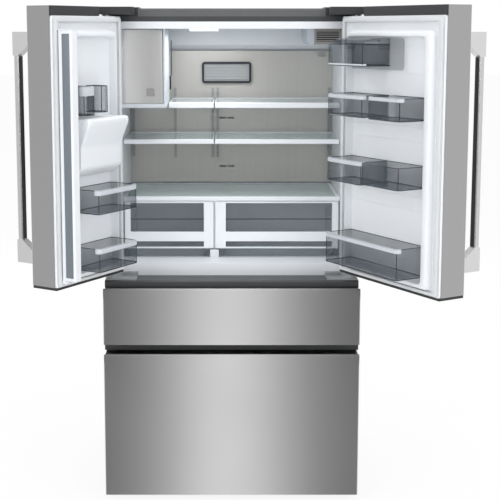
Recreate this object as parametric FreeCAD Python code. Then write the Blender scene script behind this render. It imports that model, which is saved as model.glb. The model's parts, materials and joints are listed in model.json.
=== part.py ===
import FreeCAD, Part
import math
import os

os.makedirs("parts", exist_ok=True)

# Frame: origin on the floor under the centre of the case, X to the right, Y to the back, Z up.
# All lengths are millimetres.  "U" runs along a closed door from its hinge edge,
# "V" runs into the refrigerator from the door's outer face.

V3 = FreeCAD.Vector
X_AXIS = V3(1, 0, 0)
Y_AXIS = V3(0, 1, 0)
Z_AXIS = V3(0, 0, 1)

# ---- whole refrigerator -------------------------------------------------------------
CASE_W = 914.0
CASE_D = 604.0
HEIGHT = 1778.0
COVER_RISE = 32.0
CASE_TOP = HEIGHT - COVER_RISE
DOOR_T = 106.0
SEAL = 12.0
STEEL = 1.2
SHEET = 2.0
SKIN = 3.0
CLEAR = 0.5
FIT = 0.05

HALF = CASE_W / 2
FRONT = -CASE_D / 2
BACK = CASE_D / 2
FACE_Y = FRONT - SEAL - DOOR_T
LINER_FRONT = FRONT + SHEET

# ---- levels, built up from the floor and down from the top --------------------------
CASE_BOTTOM = 40.0
TOE_GAP = 27.0
FREEZER_H = 524.5
DRAWER_GAP = 35.0
FLEX_H = 205.2
PULL_RISE = 5.7
LEDGE_T = 29.0
DOOR_LIFT = 29.0
END_CAP = 9.0
SILL_H = 44.0
LIP_STEP = 14.0
CEIL_T = 43.0
CAP_DROP = 1.0
FREEZER_Z0 = TOE_GAP
FREEZER_Z1 = FREEZER_Z0 + FREEZER_H
FLEX_Z0 = FREEZER_Z1 + DRAWER_GAP
FLEX_Z1 = FLEX_Z0 + FLEX_H
LEDGE_Z0 = FLEX_Z1 - PULL_RISE
LEDGE_Z1 = LEDGE_Z0 + LEDGE_T
SILL_Z = LEDGE_Z1
DOOR_Z0 = LEDGE_Z1 + DOOR_LIFT
SHELL_Z0 = DOOR_Z0 + END_CAP
DOOR_Z1 = HEIGHT - CAP_DROP
CAP_Z0 = CASE_TOP - CAP_DROP
FREEZER_FLOOR = FREEZER_Z0 + 51.0
FREEZER_CEIL = FREEZER_Z1 - 5.5
FLEX_FLOOR = FLEX_Z0 + 17.5
FLEX_CEIL = LEDGE_Z0 - 10.0
FRIDGE_LIP = LEDGE_Z1 + SILL_H
FRIDGE_FLOOR = FRIDGE_LIP - LIP_STEP
FRIDGE_CEIL = CASE_TOP - CEIL_T

# ---- compartments -------------------------------------------------------------------
WALL_T = 52.0
BACK_T = 62.0
DUCT_D = 20.0
DRAWER_BACK_T = 84.0
MACHINE_D = 222.0
MACHINE_Z = 270.0
STEP_T = 30.0
STEP_D = 20.0
FRIDGE_HALF = HALF - WALL_T
FRIDGE_BACK = BACK - BACK_T
DUCT_FACE = FRIDGE_BACK - DUCT_D
DRAWER_HALF = FRIDGE_HALF
DRAWER_BACK = BACK - DRAWER_BACK_T
MACHINE_Y = BACK - MACHINE_D
STEP_BACK = MACHINE_Y - STEP_D
STEP_Z = MACHINE_Z + STEP_T

# ---- doors --------------------------------------------------------------------------
LEFT_W = 370.0
DOOR_GAP = 5.0
RIGHT_W = CASE_W - LEFT_W - DOOR_GAP
PIVOT_U = 19.0
PIVOT_V = 55.0
LEFT_OPEN = 121.6
RIGHT_OPEN = 120.4
PIN_R = 6.0
DOOR_EDGE_R = 6.0
LINER_V = DOOR_T - 6.0
GASKET_T = SEAL - 0.6
GASKET_U0 = 14.0
HINGE_ZONE = 120.0


# ---- small helpers ------------------------------------------------------------------
def box(x0, x1, y0, y1, z0, z1):
    """Block between two corners."""
    return Part.makeBox(x1 - x0, y1 - y0, z1 - z0, V3(x0, y0, z0))


def cyl(radius, base, length, axis=Z_AXIS):
    """Round bar from a base point along an axis."""
    return Part.makeCylinder(radius, length, V3(*base), axis)


def fuse(shapes):
    """One body from several that touch."""
    first = shapes[0]
    if len(shapes) == 1:
        return first
    return first.fuse(shapes[1:]).removeSplitter()


def cut(shape, tools):
    """Body with every tool taken away."""
    if not tools:
        return shape
    return shape.cut(tools)


def group(shapes):
    """Several separate solids kept as one node."""
    solids = []
    for shape in shapes:
        solids.extend(shape.Solids)
    return Part.makeCompound(solids)


def mirror_x(shape):
    """Copy on the other side of the middle plane."""
    return shape.mirror(V3(0, 0, 0), X_AXIS)


def both(shape):
    """A piece and its mirror image."""
    return [shape, mirror_x(shape)]


def plate_from(points, normal_start, thickness, plane):
    """Straight prism on a closed outline; plane says which two coordinates the points give."""
    lift = {"xy": lambda a, b: V3(a, b, normal_start),
            "xz": lambda a, b: V3(a, normal_start, b),
            "yz": lambda a, b: V3(normal_start, a, b)}[plane]
    direction = {"xy": V3(0, 0, thickness), "xz": V3(0, thickness, 0), "yz": V3(thickness, 0, 0)}[plane]
    corners = [lift(a, b) for a, b in points]
    wire = Part.makePolygon(corners + [corners[0]])
    return Part.Face(wire).extrude(direction)


def soften(shape, radius, axis=None, test=None):
    """Round the straight edges that run along an axis and pass a test on their middle point."""
    chosen = []
    for edge in shape.Edges:
        if len(edge.Vertexes) < 2:
            continue
        run = edge.Vertexes[1].Point - edge.Vertexes[0].Point
        if run.Length < 1e-6:
            continue
        run.normalize()
        if axis is not None and abs(run.dot(axis)) < 0.999:
            continue
        if test is not None and not test(edge.CenterOfMass):
            continue
        chosen.append(edge)
    if not chosen:
        return shape
    return shape.makeFillet(radius, chosen)


def tray(x0, x1, y0, y1, z0, z1, wall, corner=0.0):
    """Open box with a floor and four walls, its upright corners rounded."""
    outer = box(x0, x1, y0, y1, z0, z1)
    inner = box(x0 + wall, x1 - wall, y0 + wall, y1 - wall, z0 + wall, z1 + wall)
    if corner > wall:
        outer = soften(outer, corner, Z_AXIS)
        inner = soften(inner, corner - wall, Z_AXIS)
    return outer.cut(inner)


def frame_ring(x0, x1, y0, y1, z0, z1, border, normal):
    """Rectangular ring; normal names the axis the opening looks along."""
    outer = box(x0, x1, y0, y1, z0, z1)
    if normal == "z":
        hole = box(x0 + border, x1 - border, y0 + border, y1 - border, z0 - 1, z1 + 1)
    elif normal == "y":
        hole = box(x0 + border, x1 - border, y0 - 1, y1 + 1, z0 + border, z1 - border)
    else:
        hole = box(x0 - 1, x1 + 1, y0 + border, y1 - border, z0 + border, z1 - border)
    return outer.cut(hole)


NODES = {}


def node(name, shape):
    """Keep a finished piece under its node name."""
    NODES[name] = shape


# ---- cabinet ------------------------------------------------------------------------
EDGE_IN = 17.0
MACHINE_HALF = HALF - EDGE_IN
RAIL_GAP = 2.0
LEDGE_HALF = HALF - 5.0
LEDGE_D = 91.0
BAR_D = 68.0
LEDGE_Y0 = FRONT - LEDGE_D
BAR_Y0 = FRONT - BAR_D


def outer_case():
    """Folded steel wrap with the rear sheet, open at the front and below."""
    wrap = box(-HALF, HALF, FRONT, BACK, CASE_BOTTOM, CASE_TOP)
    wrap = soften(wrap, DOOR_EDGE_R, Y_AXIS, lambda p: p.z > CASE_TOP - 1)
    inside = box(-HALF + STEEL, HALF - STEEL, FRONT - 1, BACK - STEEL, CASE_BOTTOM - 1, CASE_TOP - STEEL)
    inside = soften(inside, DOOR_EDGE_R - STEEL, Y_AXIS, lambda p: p.z > CASE_TOP - STEEL - 1)
    service = box(-MACHINE_HALF, MACHINE_HALF, BACK - 2 * STEEL, BACK + 1, CASE_BOTTOM - 1, MACHINE_Z)
    edge = box(-HALF, HALF, FRONT, LINER_FRONT, CASE_BOTTOM, CASE_TOP)
    edge = soften(edge, DOOR_EDGE_R, Y_AXIS, lambda p: p.z > CASE_TOP - 1)
    flanges = [box(-FLANGE_HALF, FLANGE_HALF, FRONT - 1, LINER_FRONT + 1, z0, z1)
               for z0, z1 in ((FREEZER_FLOOR - FLANGE_DROP, FREEZER_CEIL + FLANGE_DROP),
                              (FLEX_FLOOR - FLANGE_DROP, LEDGE_Z0), (SILL_Z, FLANGE_TOP))]
    return wrap.cut([inside, service]).fuse(edge.cut(flanges)).removeSplitter()


def fridge_room():
    """Air space of the upper compartment."""
    room = box(-FRIDGE_HALF, FRIDGE_HALF, FRONT - 1, FRIDGE_BACK, FRIDGE_FLOOR, FRIDGE_CEIL)
    lip = box(-HALF, HALF, FRONT - 2, FRONT + LIP_DEPTH, FRIDGE_FLOOR - 1, FRIDGE_LIP)
    return room.cut(lip)


def drawer_room(z0, z1, y1=DRAWER_BACK):
    """Air space behind one drawer front."""
    return box(-DRAWER_HALF, DRAWER_HALF, FRONT - 1, y1, z0, z1)


def freezer_room():
    """Freezer space, shortened below where the machine room is."""
    low = drawer_room(FREEZER_FLOOR, FREEZER_CEIL, STEP_BACK)
    return low.fuse(drawer_room(STEP_Z, FREEZER_CEIL)).removeSplitter()


def grown(z0, z1, y1, half):
    """Outside of a liner around a compartment, open to the front plane."""
    return box(-half - SHEET, half + SHEET, FRONT, y1 + SHEET, z0 - SHEET, z1 + SHEET)


LIP_DEPTH = 130.0
FLANGE_DROP = 20.0
FLANGE_TOP = FRIDGE_CEIL + 25.0
FLANGE_HALF = HALF - EDGE_IN
TOP_PANEL_Z = FRIDGE_CEIL - 63.0
STRIP_Z = TOP_PANEL_Z - 24.0


def fridge_liner():
    """White moulded liner: pan, front flange with the sill, and the stepped rear top panel."""
    pan = grown(FRIDGE_FLOOR, FRIDGE_CEIL, FRIDGE_BACK, FRIDGE_HALF)
    flange = box(-FLANGE_HALF, FLANGE_HALF, FRONT, FRONT + SHEET, SILL_Z, FLANGE_TOP)
    lip_z0 = FRIDGE_LIP - 4 * SHEET
    lip = box(-FRIDGE_HALF - SHEET, FRIDGE_HALF + SHEET, FRONT, FRONT + LIP_DEPTH, lip_z0, FRIDGE_LIP)
    body = pan.fuse([flange, lip]).cut(fridge_room())
    step = plate_from([(FRIDGE_BACK, STRIP_Z), (FRIDGE_BACK, FRIDGE_CEIL), (DUCT_FACE, FRIDGE_CEIL),
                       (DUCT_FACE, TOP_PANEL_Z)], -FRIDGE_HALF, 2 * FRIDGE_HALF, "yz")
    return body.fuse(step).removeSplitter()


def drawer_liners():
    """Liners of the two drawer compartments."""
    flex = grown(FLEX_FLOOR, FLEX_CEIL, DRAWER_BACK, DRAWER_HALF)
    flex_edge = box(-FLANGE_HALF, FLANGE_HALF, FRONT, FRONT + SHEET, FLEX_FLOOR - FLANGE_DROP, LEDGE_Z0)
    upper = grown(STEP_Z, FREEZER_CEIL, DRAWER_BACK, DRAWER_HALF)
    lower = grown(FREEZER_FLOOR, FREEZER_CEIL, STEP_BACK, DRAWER_HALF)
    edge = box(-FLANGE_HALF, FLANGE_HALF, FRONT, FRONT + SHEET, FREEZER_FLOOR - FLANGE_DROP,
               FREEZER_CEIL + FLANGE_DROP)
    flex_liner = flex.fuse(flex_edge).removeSplitter().cut(drawer_room(FLEX_FLOOR, FLEX_CEIL))
    freezer_liner = upper.fuse([lower, edge]).removeSplitter().cut(freezer_room())
    return [flex_liner, freezer_liner]


def insulation():
    """Foam body between the steel case and the liners."""
    foam = box(-HALF + STEEL, HALF - STEEL, LINER_FRONT, BACK - STEEL, CASE_BOTTOM, CASE_TOP - STEEL)
    foam = soften(foam, DOOR_EDGE_R - STEEL, Y_AXIS, lambda p: p.z > CASE_TOP - STEEL - 1)
    pans = [grown(FRIDGE_FLOOR, FRIDGE_CEIL, FRIDGE_BACK, FRIDGE_HALF),
            grown(FLEX_FLOOR, FLEX_CEIL, DRAWER_BACK, DRAWER_HALF),
            grown(STEP_Z, FREEZER_CEIL, DRAWER_BACK, DRAWER_HALF),
            grown(FREEZER_FLOOR, FREEZER_CEIL, STEP_BACK, DRAWER_HALF)]
    lip_z0 = FRIDGE_LIP - 4 * SHEET
    pans.append(box(-FRIDGE_HALF - SHEET, FRIDGE_HALF + SHEET, FRONT, FRONT + LIP_DEPTH, lip_z0, FRIDGE_LIP))
    machine = box(-HALF, HALF, MACHINE_Y, BACK + 1, CASE_BOTTOM - 1, MACHINE_Z)
    return foam.cut(pans + [machine])


def divider_rails():
    """Ledge under the doors and the bar between the two drawers."""
    ledge = box(-LEDGE_HALF, LEDGE_HALF, LEDGE_Y0, FRONT, LEDGE_Z0, LEDGE_Z1)
    ledge = soften(ledge, 3 * SHEET, X_AXIS, lambda p: p.y < LEDGE_Y0 + 1)
    bar = box(-HALF, HALF, BAR_Y0, FRONT, FREEZER_Z1 + RAIL_GAP, FLEX_Z0 - RAIL_GAP)
    bar = soften(bar, 2 * SHEET, X_AXIS, lambda p: p.y < BAR_Y0 + 1)
    return [ledge, bar]


# ---- hinges and top -----------------------------------------------------------------
PIVOT_X = HALF - PIVOT_U
PIVOT_Y = FACE_Y + PIVOT_V
COVER_R = 99.0
COVER_Z0 = CASE_TOP + 6.0
COVER_Z1 = HEIGHT
TOP_RAIL_Z1 = HEIGHT - 4.0
TOP_RAIL_D = 112.0
COVER_X = HALF - 118.0
ARM_W = 28.0
ARM_T = 5.0
ARM_BACK = FRONT + 90.0
PLATE_T = 6.0
SOCKET_Z0 = CASE_TOP - 21.0


def hinge_cover():
    """Rounded plastic cover over the left upper hinge, hollow for the arm."""
    front = box(-HALF, -COVER_X, FACE_Y + SEAL, FRONT, COVER_Z0, COVER_Z1)
    front = front.common(cyl(COVER_R, (-PIVOT_X, PIVOT_Y, COVER_Z0), COVER_Z1 - COVER_Z0))
    rear = box(-HALF, -COVER_X + SEAL, FRONT, FRONT + TOP_RAIL_D, CASE_TOP, COVER_Z1)
    arm_space = box(-PIVOT_X - ARM_W / 2 - CLEAR, -PIVOT_X + ARM_W / 2 + CLEAR, FACE_Y, ARM_BACK + CLEAR,
                    CASE_TOP - 1, CASE_TOP + ARM_T + CLEAR)
    return front.fuse(rear).removeSplitter().cut(arm_space)


def top_covers():
    """Rail across the top of the case and the two hinge covers."""
    inner = COVER_X - SEAL - CLEAR
    rail = box(-inner, inner, FRONT, FRONT + TOP_RAIL_D, CASE_TOP, TOP_RAIL_Z1)
    rail = soften(rail, 3 * SHEET, X_AXIS, lambda p: p.z > TOP_RAIL_Z1 - 1)
    return [rail] + both(hinge_cover())


def upper_hinge():
    """Left upper hinge arm with its downward pin."""
    arm = box(-PIVOT_X - ARM_W / 2, -PIVOT_X + ARM_W / 2, PIVOT_Y - ARM_W / 2, ARM_BACK,
              CASE_TOP, CASE_TOP + ARM_T)
    arm = soften(arm, ARM_W / 2 - 1, Z_AXIS, lambda p: p.y < PIVOT_Y)
    pin = cyl(PIN_R, (-PIVOT_X, PIVOT_Y, SOCKET_Z0 + SHEET), CASE_TOP - SOCKET_Z0 - SHEET)
    return arm.fuse(pin)


def lower_hinge():
    """Left lower hinge plate on the ledge with its upward pin and a folded stop."""
    plate = box(-PIVOT_X - PIN_R - SHEET, -COVER_X, LEDGE_Y0 + PIN_R, FRONT - SHEET, SILL_Z,
                SILL_Z + PLATE_T)
    boss = cyl(PIN_R + 2 * SHEET, (-PIVOT_X, PIVOT_Y, SILL_Z + CLEAR), DOOR_Z0 - SILL_Z - 2 * CLEAR)
    pin = cyl(PIN_R, (-PIVOT_X, PIVOT_Y, SILL_Z + CLEAR), SHELL_Z0 - SHEET - SILL_Z)
    stop = box(-COVER_X - 2 * ARM_W, -COVER_X, FRONT - 10 * SHEET, FRONT - SHEET, SILL_Z, SILL_Z + 15.0)
    return fuse([plate, boss, pin, stop])


def door_hinges():
    """Four hinges: two above, two below."""
    return both(upper_hinge()) + both(lower_hinge())


# ---- machine room and base ----------------------------------------------------------
BASE_T = 3.0
RAIL_Z0 = 16.0
FOOT_R = 16.0
FOOT_X = HALF - 62.0
FOOT_Y = FRONT + 40.0
ROLLER_R = 18.0
GRILLE_ARM_X = HALF - 157.0
ROLLER_W = 22.0
ROLLER_PIN = 4.0
ROLLER_Y = BACK - 32.0
TRAY_Z = CASE_BOTTOM + 8.0
COMP_X = 150.0
COMP_Y = BACK - 117.0
COMP_R = 78.0
COMP_H = 130.0
FAN_X = -110.0
COND_X1 = FAN_X - 80.0
COND_X0 = COND_X1 - 200.0
FAN_Y = COMP_Y
FAN_Z = CASE_BOTTOM + 105.0
FAN_R = 68.0
SHAFT_R = 3.0
INLET_R = 5.56
INLET_X = -HALF + 127.0
INLET_Z = CASE_BOTTOM + 70.0
INLET_TIP = BACK - 4.0
INLET_L = 12.0


def base_frame():
    """Bottom plate with side rails, roller pins and the two motor brackets."""
    plate = box(-HALF, HALF, FRONT, BACK - STEEL, CASE_BOTTOM - BASE_T, CASE_BOTTOM)
    parts = [plate]
    for side in (-1, 1):
        rail = box(side * FOOT_X - 3.0, side * FOOT_X + 3.0, FRONT + 10.0, BACK - 10.0, RAIL_Z0,
                   CASE_BOTTOM - BASE_T)
        window = box(side * FOOT_X - 9.0, side * FOOT_X + 9.0, ROLLER_Y - 24.0, BACK, RAIL_Z0 - 1,
                     CASE_BOTTOM - BASE_T)
        notch = box(side * FOOT_X - 9.0, side * FOOT_X + 9.0, FRONT, FOOT_Y + 24.0, RAIL_Z0 - 1,
                    CASE_BOTTOM - BASE_T)
        rail = rail.cut([window, notch])
        parts.append(rail)
        reach = ROLLER_W / 2 + 2.0
        pin = cyl(ROLLER_PIN, (side * FOOT_X - reach - 3.0, ROLLER_Y, ROLLER_R), 2 * reach + 6.0, X_AXIS)
        parts.append(pin)
        for end in (-1, 1):
            x = side * FOOT_X + end * (reach + 1.5)
            parts.append(box(x - 1.5, x + 1.5, ROLLER_Y - 10.0, ROLLER_Y + 10.0, ROLLER_R - 8.0,
                             CASE_BOTTOM - BASE_T))
    parts.append(box(-MACHINE_HALF, MACHINE_HALF, MACHINE_Y + 4.0, BACK - 6.0, CASE_BOTTOM,
                     CASE_BOTTOM + 4.0))
    return fuse(parts).cut([cyl(FOOT_R / 3, (side * FOOT_X, FOOT_Y, 0), CASE_BOTTOM + 1) for side in (-1,
                                                                                                      1)])


def levelling_feet():
    """Two threaded feet with round pads on the floor."""
    feet = []
    for side in (-1, 1):
        pad = cyl(FOOT_R, (side * FOOT_X, FOOT_Y, 0), 8.0)
        nut = cyl(FOOT_R * 0.6, (side * FOOT_X, FOOT_Y, 8.0), 12.0)
        stem = cyl(FOOT_R / 3, (side * FOOT_X, FOOT_Y, 20.0), CASE_BOTTOM - 20.0)
        feet.append(fuse([pad, nut, stem]))
    return feet


def rear_rollers():
    """Two wheels on the rear pins."""
    wheels = []
    for side in (-1, 1):
        x = side * FOOT_X - ROLLER_W / 2
        wheel = cyl(ROLLER_R, (x, ROLLER_Y, ROLLER_R), ROLLER_W, X_AXIS)
        wheel = wheel.makeFillet(2.0, [e for e in wheel.Edges if len(e.Vertexes) == 1])
        wheels.append(wheel.cut(cyl(ROLLER_PIN + FIT, (x - 1, ROLLER_Y, ROLLER_R), ROLLER_W + 2, X_AXIS)))
    return wheels


def toe_grille():
    """Slotted panel in front of the base."""
    body = box(-MACHINE_HALF, MACHINE_HALF, FRONT - 48.0, FRONT - 42.0, 6.0, 24.0)
    slots = []
    pitch = 40.0
    count = int(2 * (MACHINE_HALF - pitch) / pitch) + 1
    for i in range(count):
        x = -MACHINE_HALF + pitch + i * pitch
        slots.append(box(x - 14.0, x + 14.0, FRONT - 50.0, FRONT - 40.0, 12.0, 17.0))
    body = body.cut(slots)
    arms = [box(x - 8.0, x + 8.0, FRONT - 42.0, FRONT, 18.0, 24.0) for x in (-GRILLE_ARM_X, GRILLE_ARM_X)]
    posts = [box(x - 8.0, x + 8.0, FRONT, FRONT + 8.0, 18.0, CASE_BOTTOM - BASE_T)
             for x in (-GRILLE_ARM_X, GRILLE_ARM_X)]
    return fuse([body] + arms + posts)


def compressor():
    """Welded steel pot on three-legged base with its pipe stubs."""
    z0 = TRAY_Z
    pot = cyl(COMP_R, (COMP_X, COMP_Y, z0 + 8.0), COMP_H)
    pot = soften_round(pot, 34.0, z0 + 8.0 + COMP_H)
    pot = soften_round(pot, 14.0, z0 + 8.0)
    seam = cyl(COMP_R + 3.0, (COMP_X, COMP_Y, z0 + 70.0), 5.0)
    foot = box(COMP_X - 95.0, COMP_X + 95.0, COMP_Y - 70.0, COMP_Y + 70.0, z0, z0 + 3.0)
    neck = cyl(COMP_R * 0.6, (COMP_X, COMP_Y, z0 + 3.0), 12.0)
    pads = [cyl(9.0, (COMP_X + i * 80.0, COMP_Y + j * 55.0, CASE_BOTTOM + 4.0), z0 - CASE_BOTTOM - 4.0)
            for i in (-1, 1) for j in (-1, 1)]
    pipe = cyl(4.0, (COMP_X + 60.0, COMP_Y, z0 + 90.0), 60.0, X_AXIS)
    box_e = box(COMP_X - COMP_R - 22.0, COMP_X - COMP_R + 12.0, COMP_Y - 22.0, COMP_Y + 22.0, z0 + 78.0,
                z0 + 122.0)
    return fuse([pot, seam, foot, neck, pipe, box_e] + pads)


def soften_round(shape, radius, z):
    """Round the circular edge that lies at one height."""
    chosen = [e for e in shape.Edges if len(e.Vertexes) == 1 and abs(e.CenterOfMass.z - z) < 0.5]
    return shape.makeFillet(radius, chosen)


def condenser():
    """Finned condenser block with the fan shroud, motor boss and its shaft bore."""
    z0 = CASE_BOTTOM + 4.0
    parts = []
    for i in range(11):
        x = COND_X0 + i * (COND_X1 - COND_X0) / 10
        parts.append(box(x, x + 1.5, FAN_Y - 60.0, FAN_Y + 60.0, z0 + 20.0, z0 + 170.0))
    for row in range(4):
        for col in (-1, 1):
            base = (COND_X0, FAN_Y + col * 35.0, z0 + 40.0 + row * 36.0)
            parts.append(cyl(5.0, base, COND_X1 - COND_X0 + 1.5, X_AXIS))
    for x in (COND_X0, COND_X1 - 1.5):
        parts.append(box(x, x + 3.0, FAN_Y - 50.0, FAN_Y + 50.0, z0, z0 + 22.0))
    shroud = box(FAN_X - 30.0, FAN_X - 26.0, FAN_Y - 85.0, FAN_Y + 85.0, z0, FAN_Z + 85.0)
    shroud = shroud.cut(cyl(FAN_R + 6.0, (FAN_X - 31.0, FAN_Y, FAN_Z), 6.0, X_AXIS))
    motor = cyl(24.0, (FAN_X + 16.0, FAN_Y, FAN_Z), 40.0, X_AXIS)
    bracket = box(FAN_X + 22.0, FAN_X + 50.0, FAN_Y - 8.0, FAN_Y + 8.0, z0, FAN_Z - 10.0)
    cross = box(FAN_X - 30.0, FAN_X + 50.0, FAN_Y - 8.0, FAN_Y + 8.0, z0, z0 + 4.0)
    bore = cyl(SHAFT_R + FIT, (FAN_X + 10.0, FAN_Y, FAN_Z), 30.0, X_AXIS)
    links = box(COND_X1, FAN_X - 26.0, FAN_Y - 8.0, FAN_Y + 8.0, z0, z0 + 4.0)
    return fuse(parts + [shroud, motor, bracket, cross, links]).cut(bore)


def fan(center, axis, radius, hub_r, hub_l, shaft_l, blades=5):
    """Axial fan: hub, twisted flat blades and a shaft that runs in the motor bore."""
    hub = Part.makeCylinder(hub_r, hub_l, V3(*center), axis)
    shaft = Part.makeCylinder(SHAFT_R, shaft_l + hub_l, V3(*center), axis)
    side = Z_AXIS
    across = axis.cross(side)
    pieces = [hub, shaft]
    middle = V3(*center) + axis * (hub_l / 2)
    for i in range(blades):
        blade = Part.makeBox(radius * 0.42, 2.0, radius - hub_r + 4.0, V3(-radius * 0.21, -1.0, hub_r - 4.0))
        blade.rotate(V3(0, 0, 0), Z_AXIS, 28.0)
        place = FreeCAD.Matrix(across.x, axis.x, side.x, 0, across.y, axis.y, side.y, 0,
                               across.z, axis.z, side.z, 0, 0, 0, 0, 1)
        blade = blade.transformGeometry(place)
        blade.translate(middle)
        blade.rotate(middle, axis, 360.0 * i / blades)
        pieces.append(blade)
    return fuse(pieces)


def condenser_fan():
    """Fan that draws air over the condenser."""
    return fan((FAN_X - 12.0, FAN_Y, FAN_Z), X_AXIS, FAN_R, 14.0, 24.0, 18.0)


def machine_cover():
    """Perforated rear cover of the machine room with a hole for the water inlet."""
    cover = box(-MACHINE_HALF, MACHINE_HALF, BACK - STEEL, BACK, CASE_BOTTOM, MACHINE_Z)
    slots = []
    for col in range(6):
        for row in range(6):
            for x0 in (-260.0, 60.0):
                x = x0 + col * 34.0
                z = 80.0 + row * 24.0
                slots.append(box(x, x + 24.0, BACK - 5.0, BACK + 1.0, z, z + 8.0))
    slots.append(cyl(INLET_R + 6.0, (INLET_X, BACK - 10.0, INLET_Z), 20.0, Y_AXIS))
    return cover.cut(slots)


def water_valve():
    """Inlet valve with a compression fitting for the house supply."""
    z0 = CASE_BOTTOM + 4.0
    y0 = BACK - 40.0
    foot = box(INLET_X - 20.0, INLET_X + 20.0, y0, y0 + 20.0, z0, z0 + 3.0)
    body = box(INLET_X - 16.0, INLET_X + 16.0, y0, y0 + 18.0, z0, INLET_Z + 34.0)
    coil = cyl(14.0, (INLET_X, y0 + 9.0, INLET_Z + 30.0), 30.0)
    stub = cyl(INLET_R + 2.0, (INLET_X, y0 + 17.0, INLET_Z), INLET_TIP - INLET_L - y0 - 17.0, Y_AXIS)
    thread = cyl(INLET_R, (INLET_X, INLET_TIP - INLET_L, INLET_Z), INLET_L, Y_AXIS)
    return fuse([foot, body, coil, stub, thread])


# ---- cold air -----------------------------------------------------------------------
EVAP_Y1 = DRAWER_BACK - 6.0
EVAP_Y0 = EVAP_Y1 - 56.0
EVAP_Z0 = STEP_Z + 16.0
EVAP_Z1 = EVAP_Z0 + 110.0
EVAP_FAN_Z = EVAP_Z1 + 62.0
EVAP_FAN_R = 48.0
EVAP_MOTOR_Y = DRAWER_BACK - 28.0
FREEZER_DUCT_Y = EVAP_Y0 - 10.0


def evaporator():
    """Finned coil behind the freezer duct with the fan motor above it."""
    parts = []
    for i in range(21):
        x = -300.0 + i * 30.0
        parts.append(box(x - 0.6, x + 0.6, EVAP_Y0, EVAP_Y1, EVAP_Z0, EVAP_Z1))
    for row in range(3):
        for y in (EVAP_Y0 + 14.0, EVAP_Y1 - 14.0):
            parts.append(cyl(4.5, (-330.0, y, EVAP_Z0 + 20.0 + row * 35.0), 660.0, X_AXIS))
    for side in (-1, 1):
        x = side * 332.0
        parts.append(box(min(x, x + side * 4), max(x, x + side * 4), EVAP_Y0, DRAWER_BACK,
                         EVAP_Z0 - 10.0, EVAP_Z1))
    mast = box(-14.0, 14.0, EVAP_Y1 - 4.0, DRAWER_BACK, EVAP_Z0, EVAP_FAN_Z + 14.0)
    motor = cyl(20.0, (0, EVAP_MOTOR_Y, EVAP_FAN_Z), DRAWER_BACK - EVAP_MOTOR_Y, Y_AXIS)
    bore = cyl(SHAFT_R + FIT, (0, EVAP_MOTOR_Y - 10.0, EVAP_FAN_Z), 30.0, Y_AXIS)
    return fuse(parts + [mast, motor]).cut(bore)


def evaporator_fan():
    """Fan that blows the cold air."""
    return fan((0, EVAP_MOTOR_Y - 24.0, EVAP_FAN_Z), Y_AXIS, EVAP_FAN_R, 12.0, 20.0, 18.0)


def duct_panels():
    """Metal-look panel of the fridge back wall and the freezer air duct."""
    fridge = box(-FRIDGE_HALF, FRIDGE_HALF, DUCT_FACE, DUCT_FACE + SKIN, PANEL_Z, STRIP_Z)
    ribs = [box(x - 2.0, x + 2.0, DUCT_FACE + SKIN, FRIDGE_BACK, PANEL_Z, STRIP_Z)
            for x in (-FRIDGE_HALF + 25.0, 0.0, FRIDGE_HALF - 25.0)]
    fridge = fuse([fridge] + ribs)
    vents = []
    for x0 in (-FRIDGE_HALF + 20.0, FRIDGE_HALF - 60.0):
        for i in range(3):
            z = STRIP_Z - 22.0 + i * 7.0
            vents.append(box(x0, x0 + 35.0, DUCT_FACE - 1, DUCT_FACE + SKIN + 1, z, z + 4.0))
    for z in (PANEL_Z + 60.0, MID_Z1 + 51.0):
        for x in (-20.0, 12.0):
            vents.append(box(x - 26.0, x, DUCT_FACE - 1, DUCT_FACE + SKIN + 1, z, z + 8.0))
    freezer = box(-DRAWER_HALF, DRAWER_HALF, FREEZER_DUCT_Y, FREEZER_DUCT_Y + SKIN, STEP_Z, FREEZER_CEIL)
    ports = [cyl(8.0, (i * 26.0, FREEZER_DUCT_Y - 1, EVAP_FAN_Z + j * 22.0), SKIN + 2, Y_AXIS)
             for i in range(-2, 3) for j in (-1, 0, 1)]
    ports += [box(x, x + 60.0, FREEZER_DUCT_Y - 1, FREEZER_DUCT_Y + SKIN + 1, STEP_Z + 8.0, STEP_Z + 16.0)
              for x in (-330.0, -200.0, -70.0, 60.0, 190.0, 300.0)]
    return [fridge.cut(vents), freezer.cut(ports)]


LENS_T = 9.0
FILTER_W = 125.0
FILTER_H = 58.0
AIR_W = 197.0
AIR_H = 85.0


def ceiling_light():
    """Light lens set under the ceiling."""
    lens = box(-152.0, -48.0, FRONT + 82.0, FRONT + 212.0, FRIDGE_CEIL - LENS_T, FRIDGE_CEIL)
    lens = soften(lens, 14.0, Z_AXIS)
    return lens


def filter_housing():
    """Water filter cover with a louvred front, in the right upper corner."""
    x0 = FRIDGE_HALF - FILTER_W
    y0 = FRONT + 184.0
    z0 = FRIDGE_CEIL - FILTER_H
    body = box(x0, FRIDGE_HALF, y0, DUCT_FACE, z0, FRIDGE_CEIL)
    body = soften(body, 16.0, Y_AXIS, lambda p: p.z < z0 + 5.0 and p.x < x0 + 20.0)
    inner = box(x0 + 6.0, FRIDGE_HALF - 4.0, y0 + 6.0, DUCT_FACE - 6.0, z0 + 6.0, FRIDGE_CEIL - 4.0)
    face = frame_ring(x0 + 28.0, FRIDGE_HALF - 3.0, y0 - 6.0, y0, z0 + 5.0, FRIDGE_CEIL - 3.0, 5.0, "y")
    louvres = [box(x0 + 32.0, FRIDGE_HALF - 7.0, y0 - 6.0, y0 - 1.0, z0 + 13.0 + i * 8.0,
                   z0 + 16.0 + i * 8.0)
               for i in range(5)]
    return fuse([body.cut(inner), face] + louvres)


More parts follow.
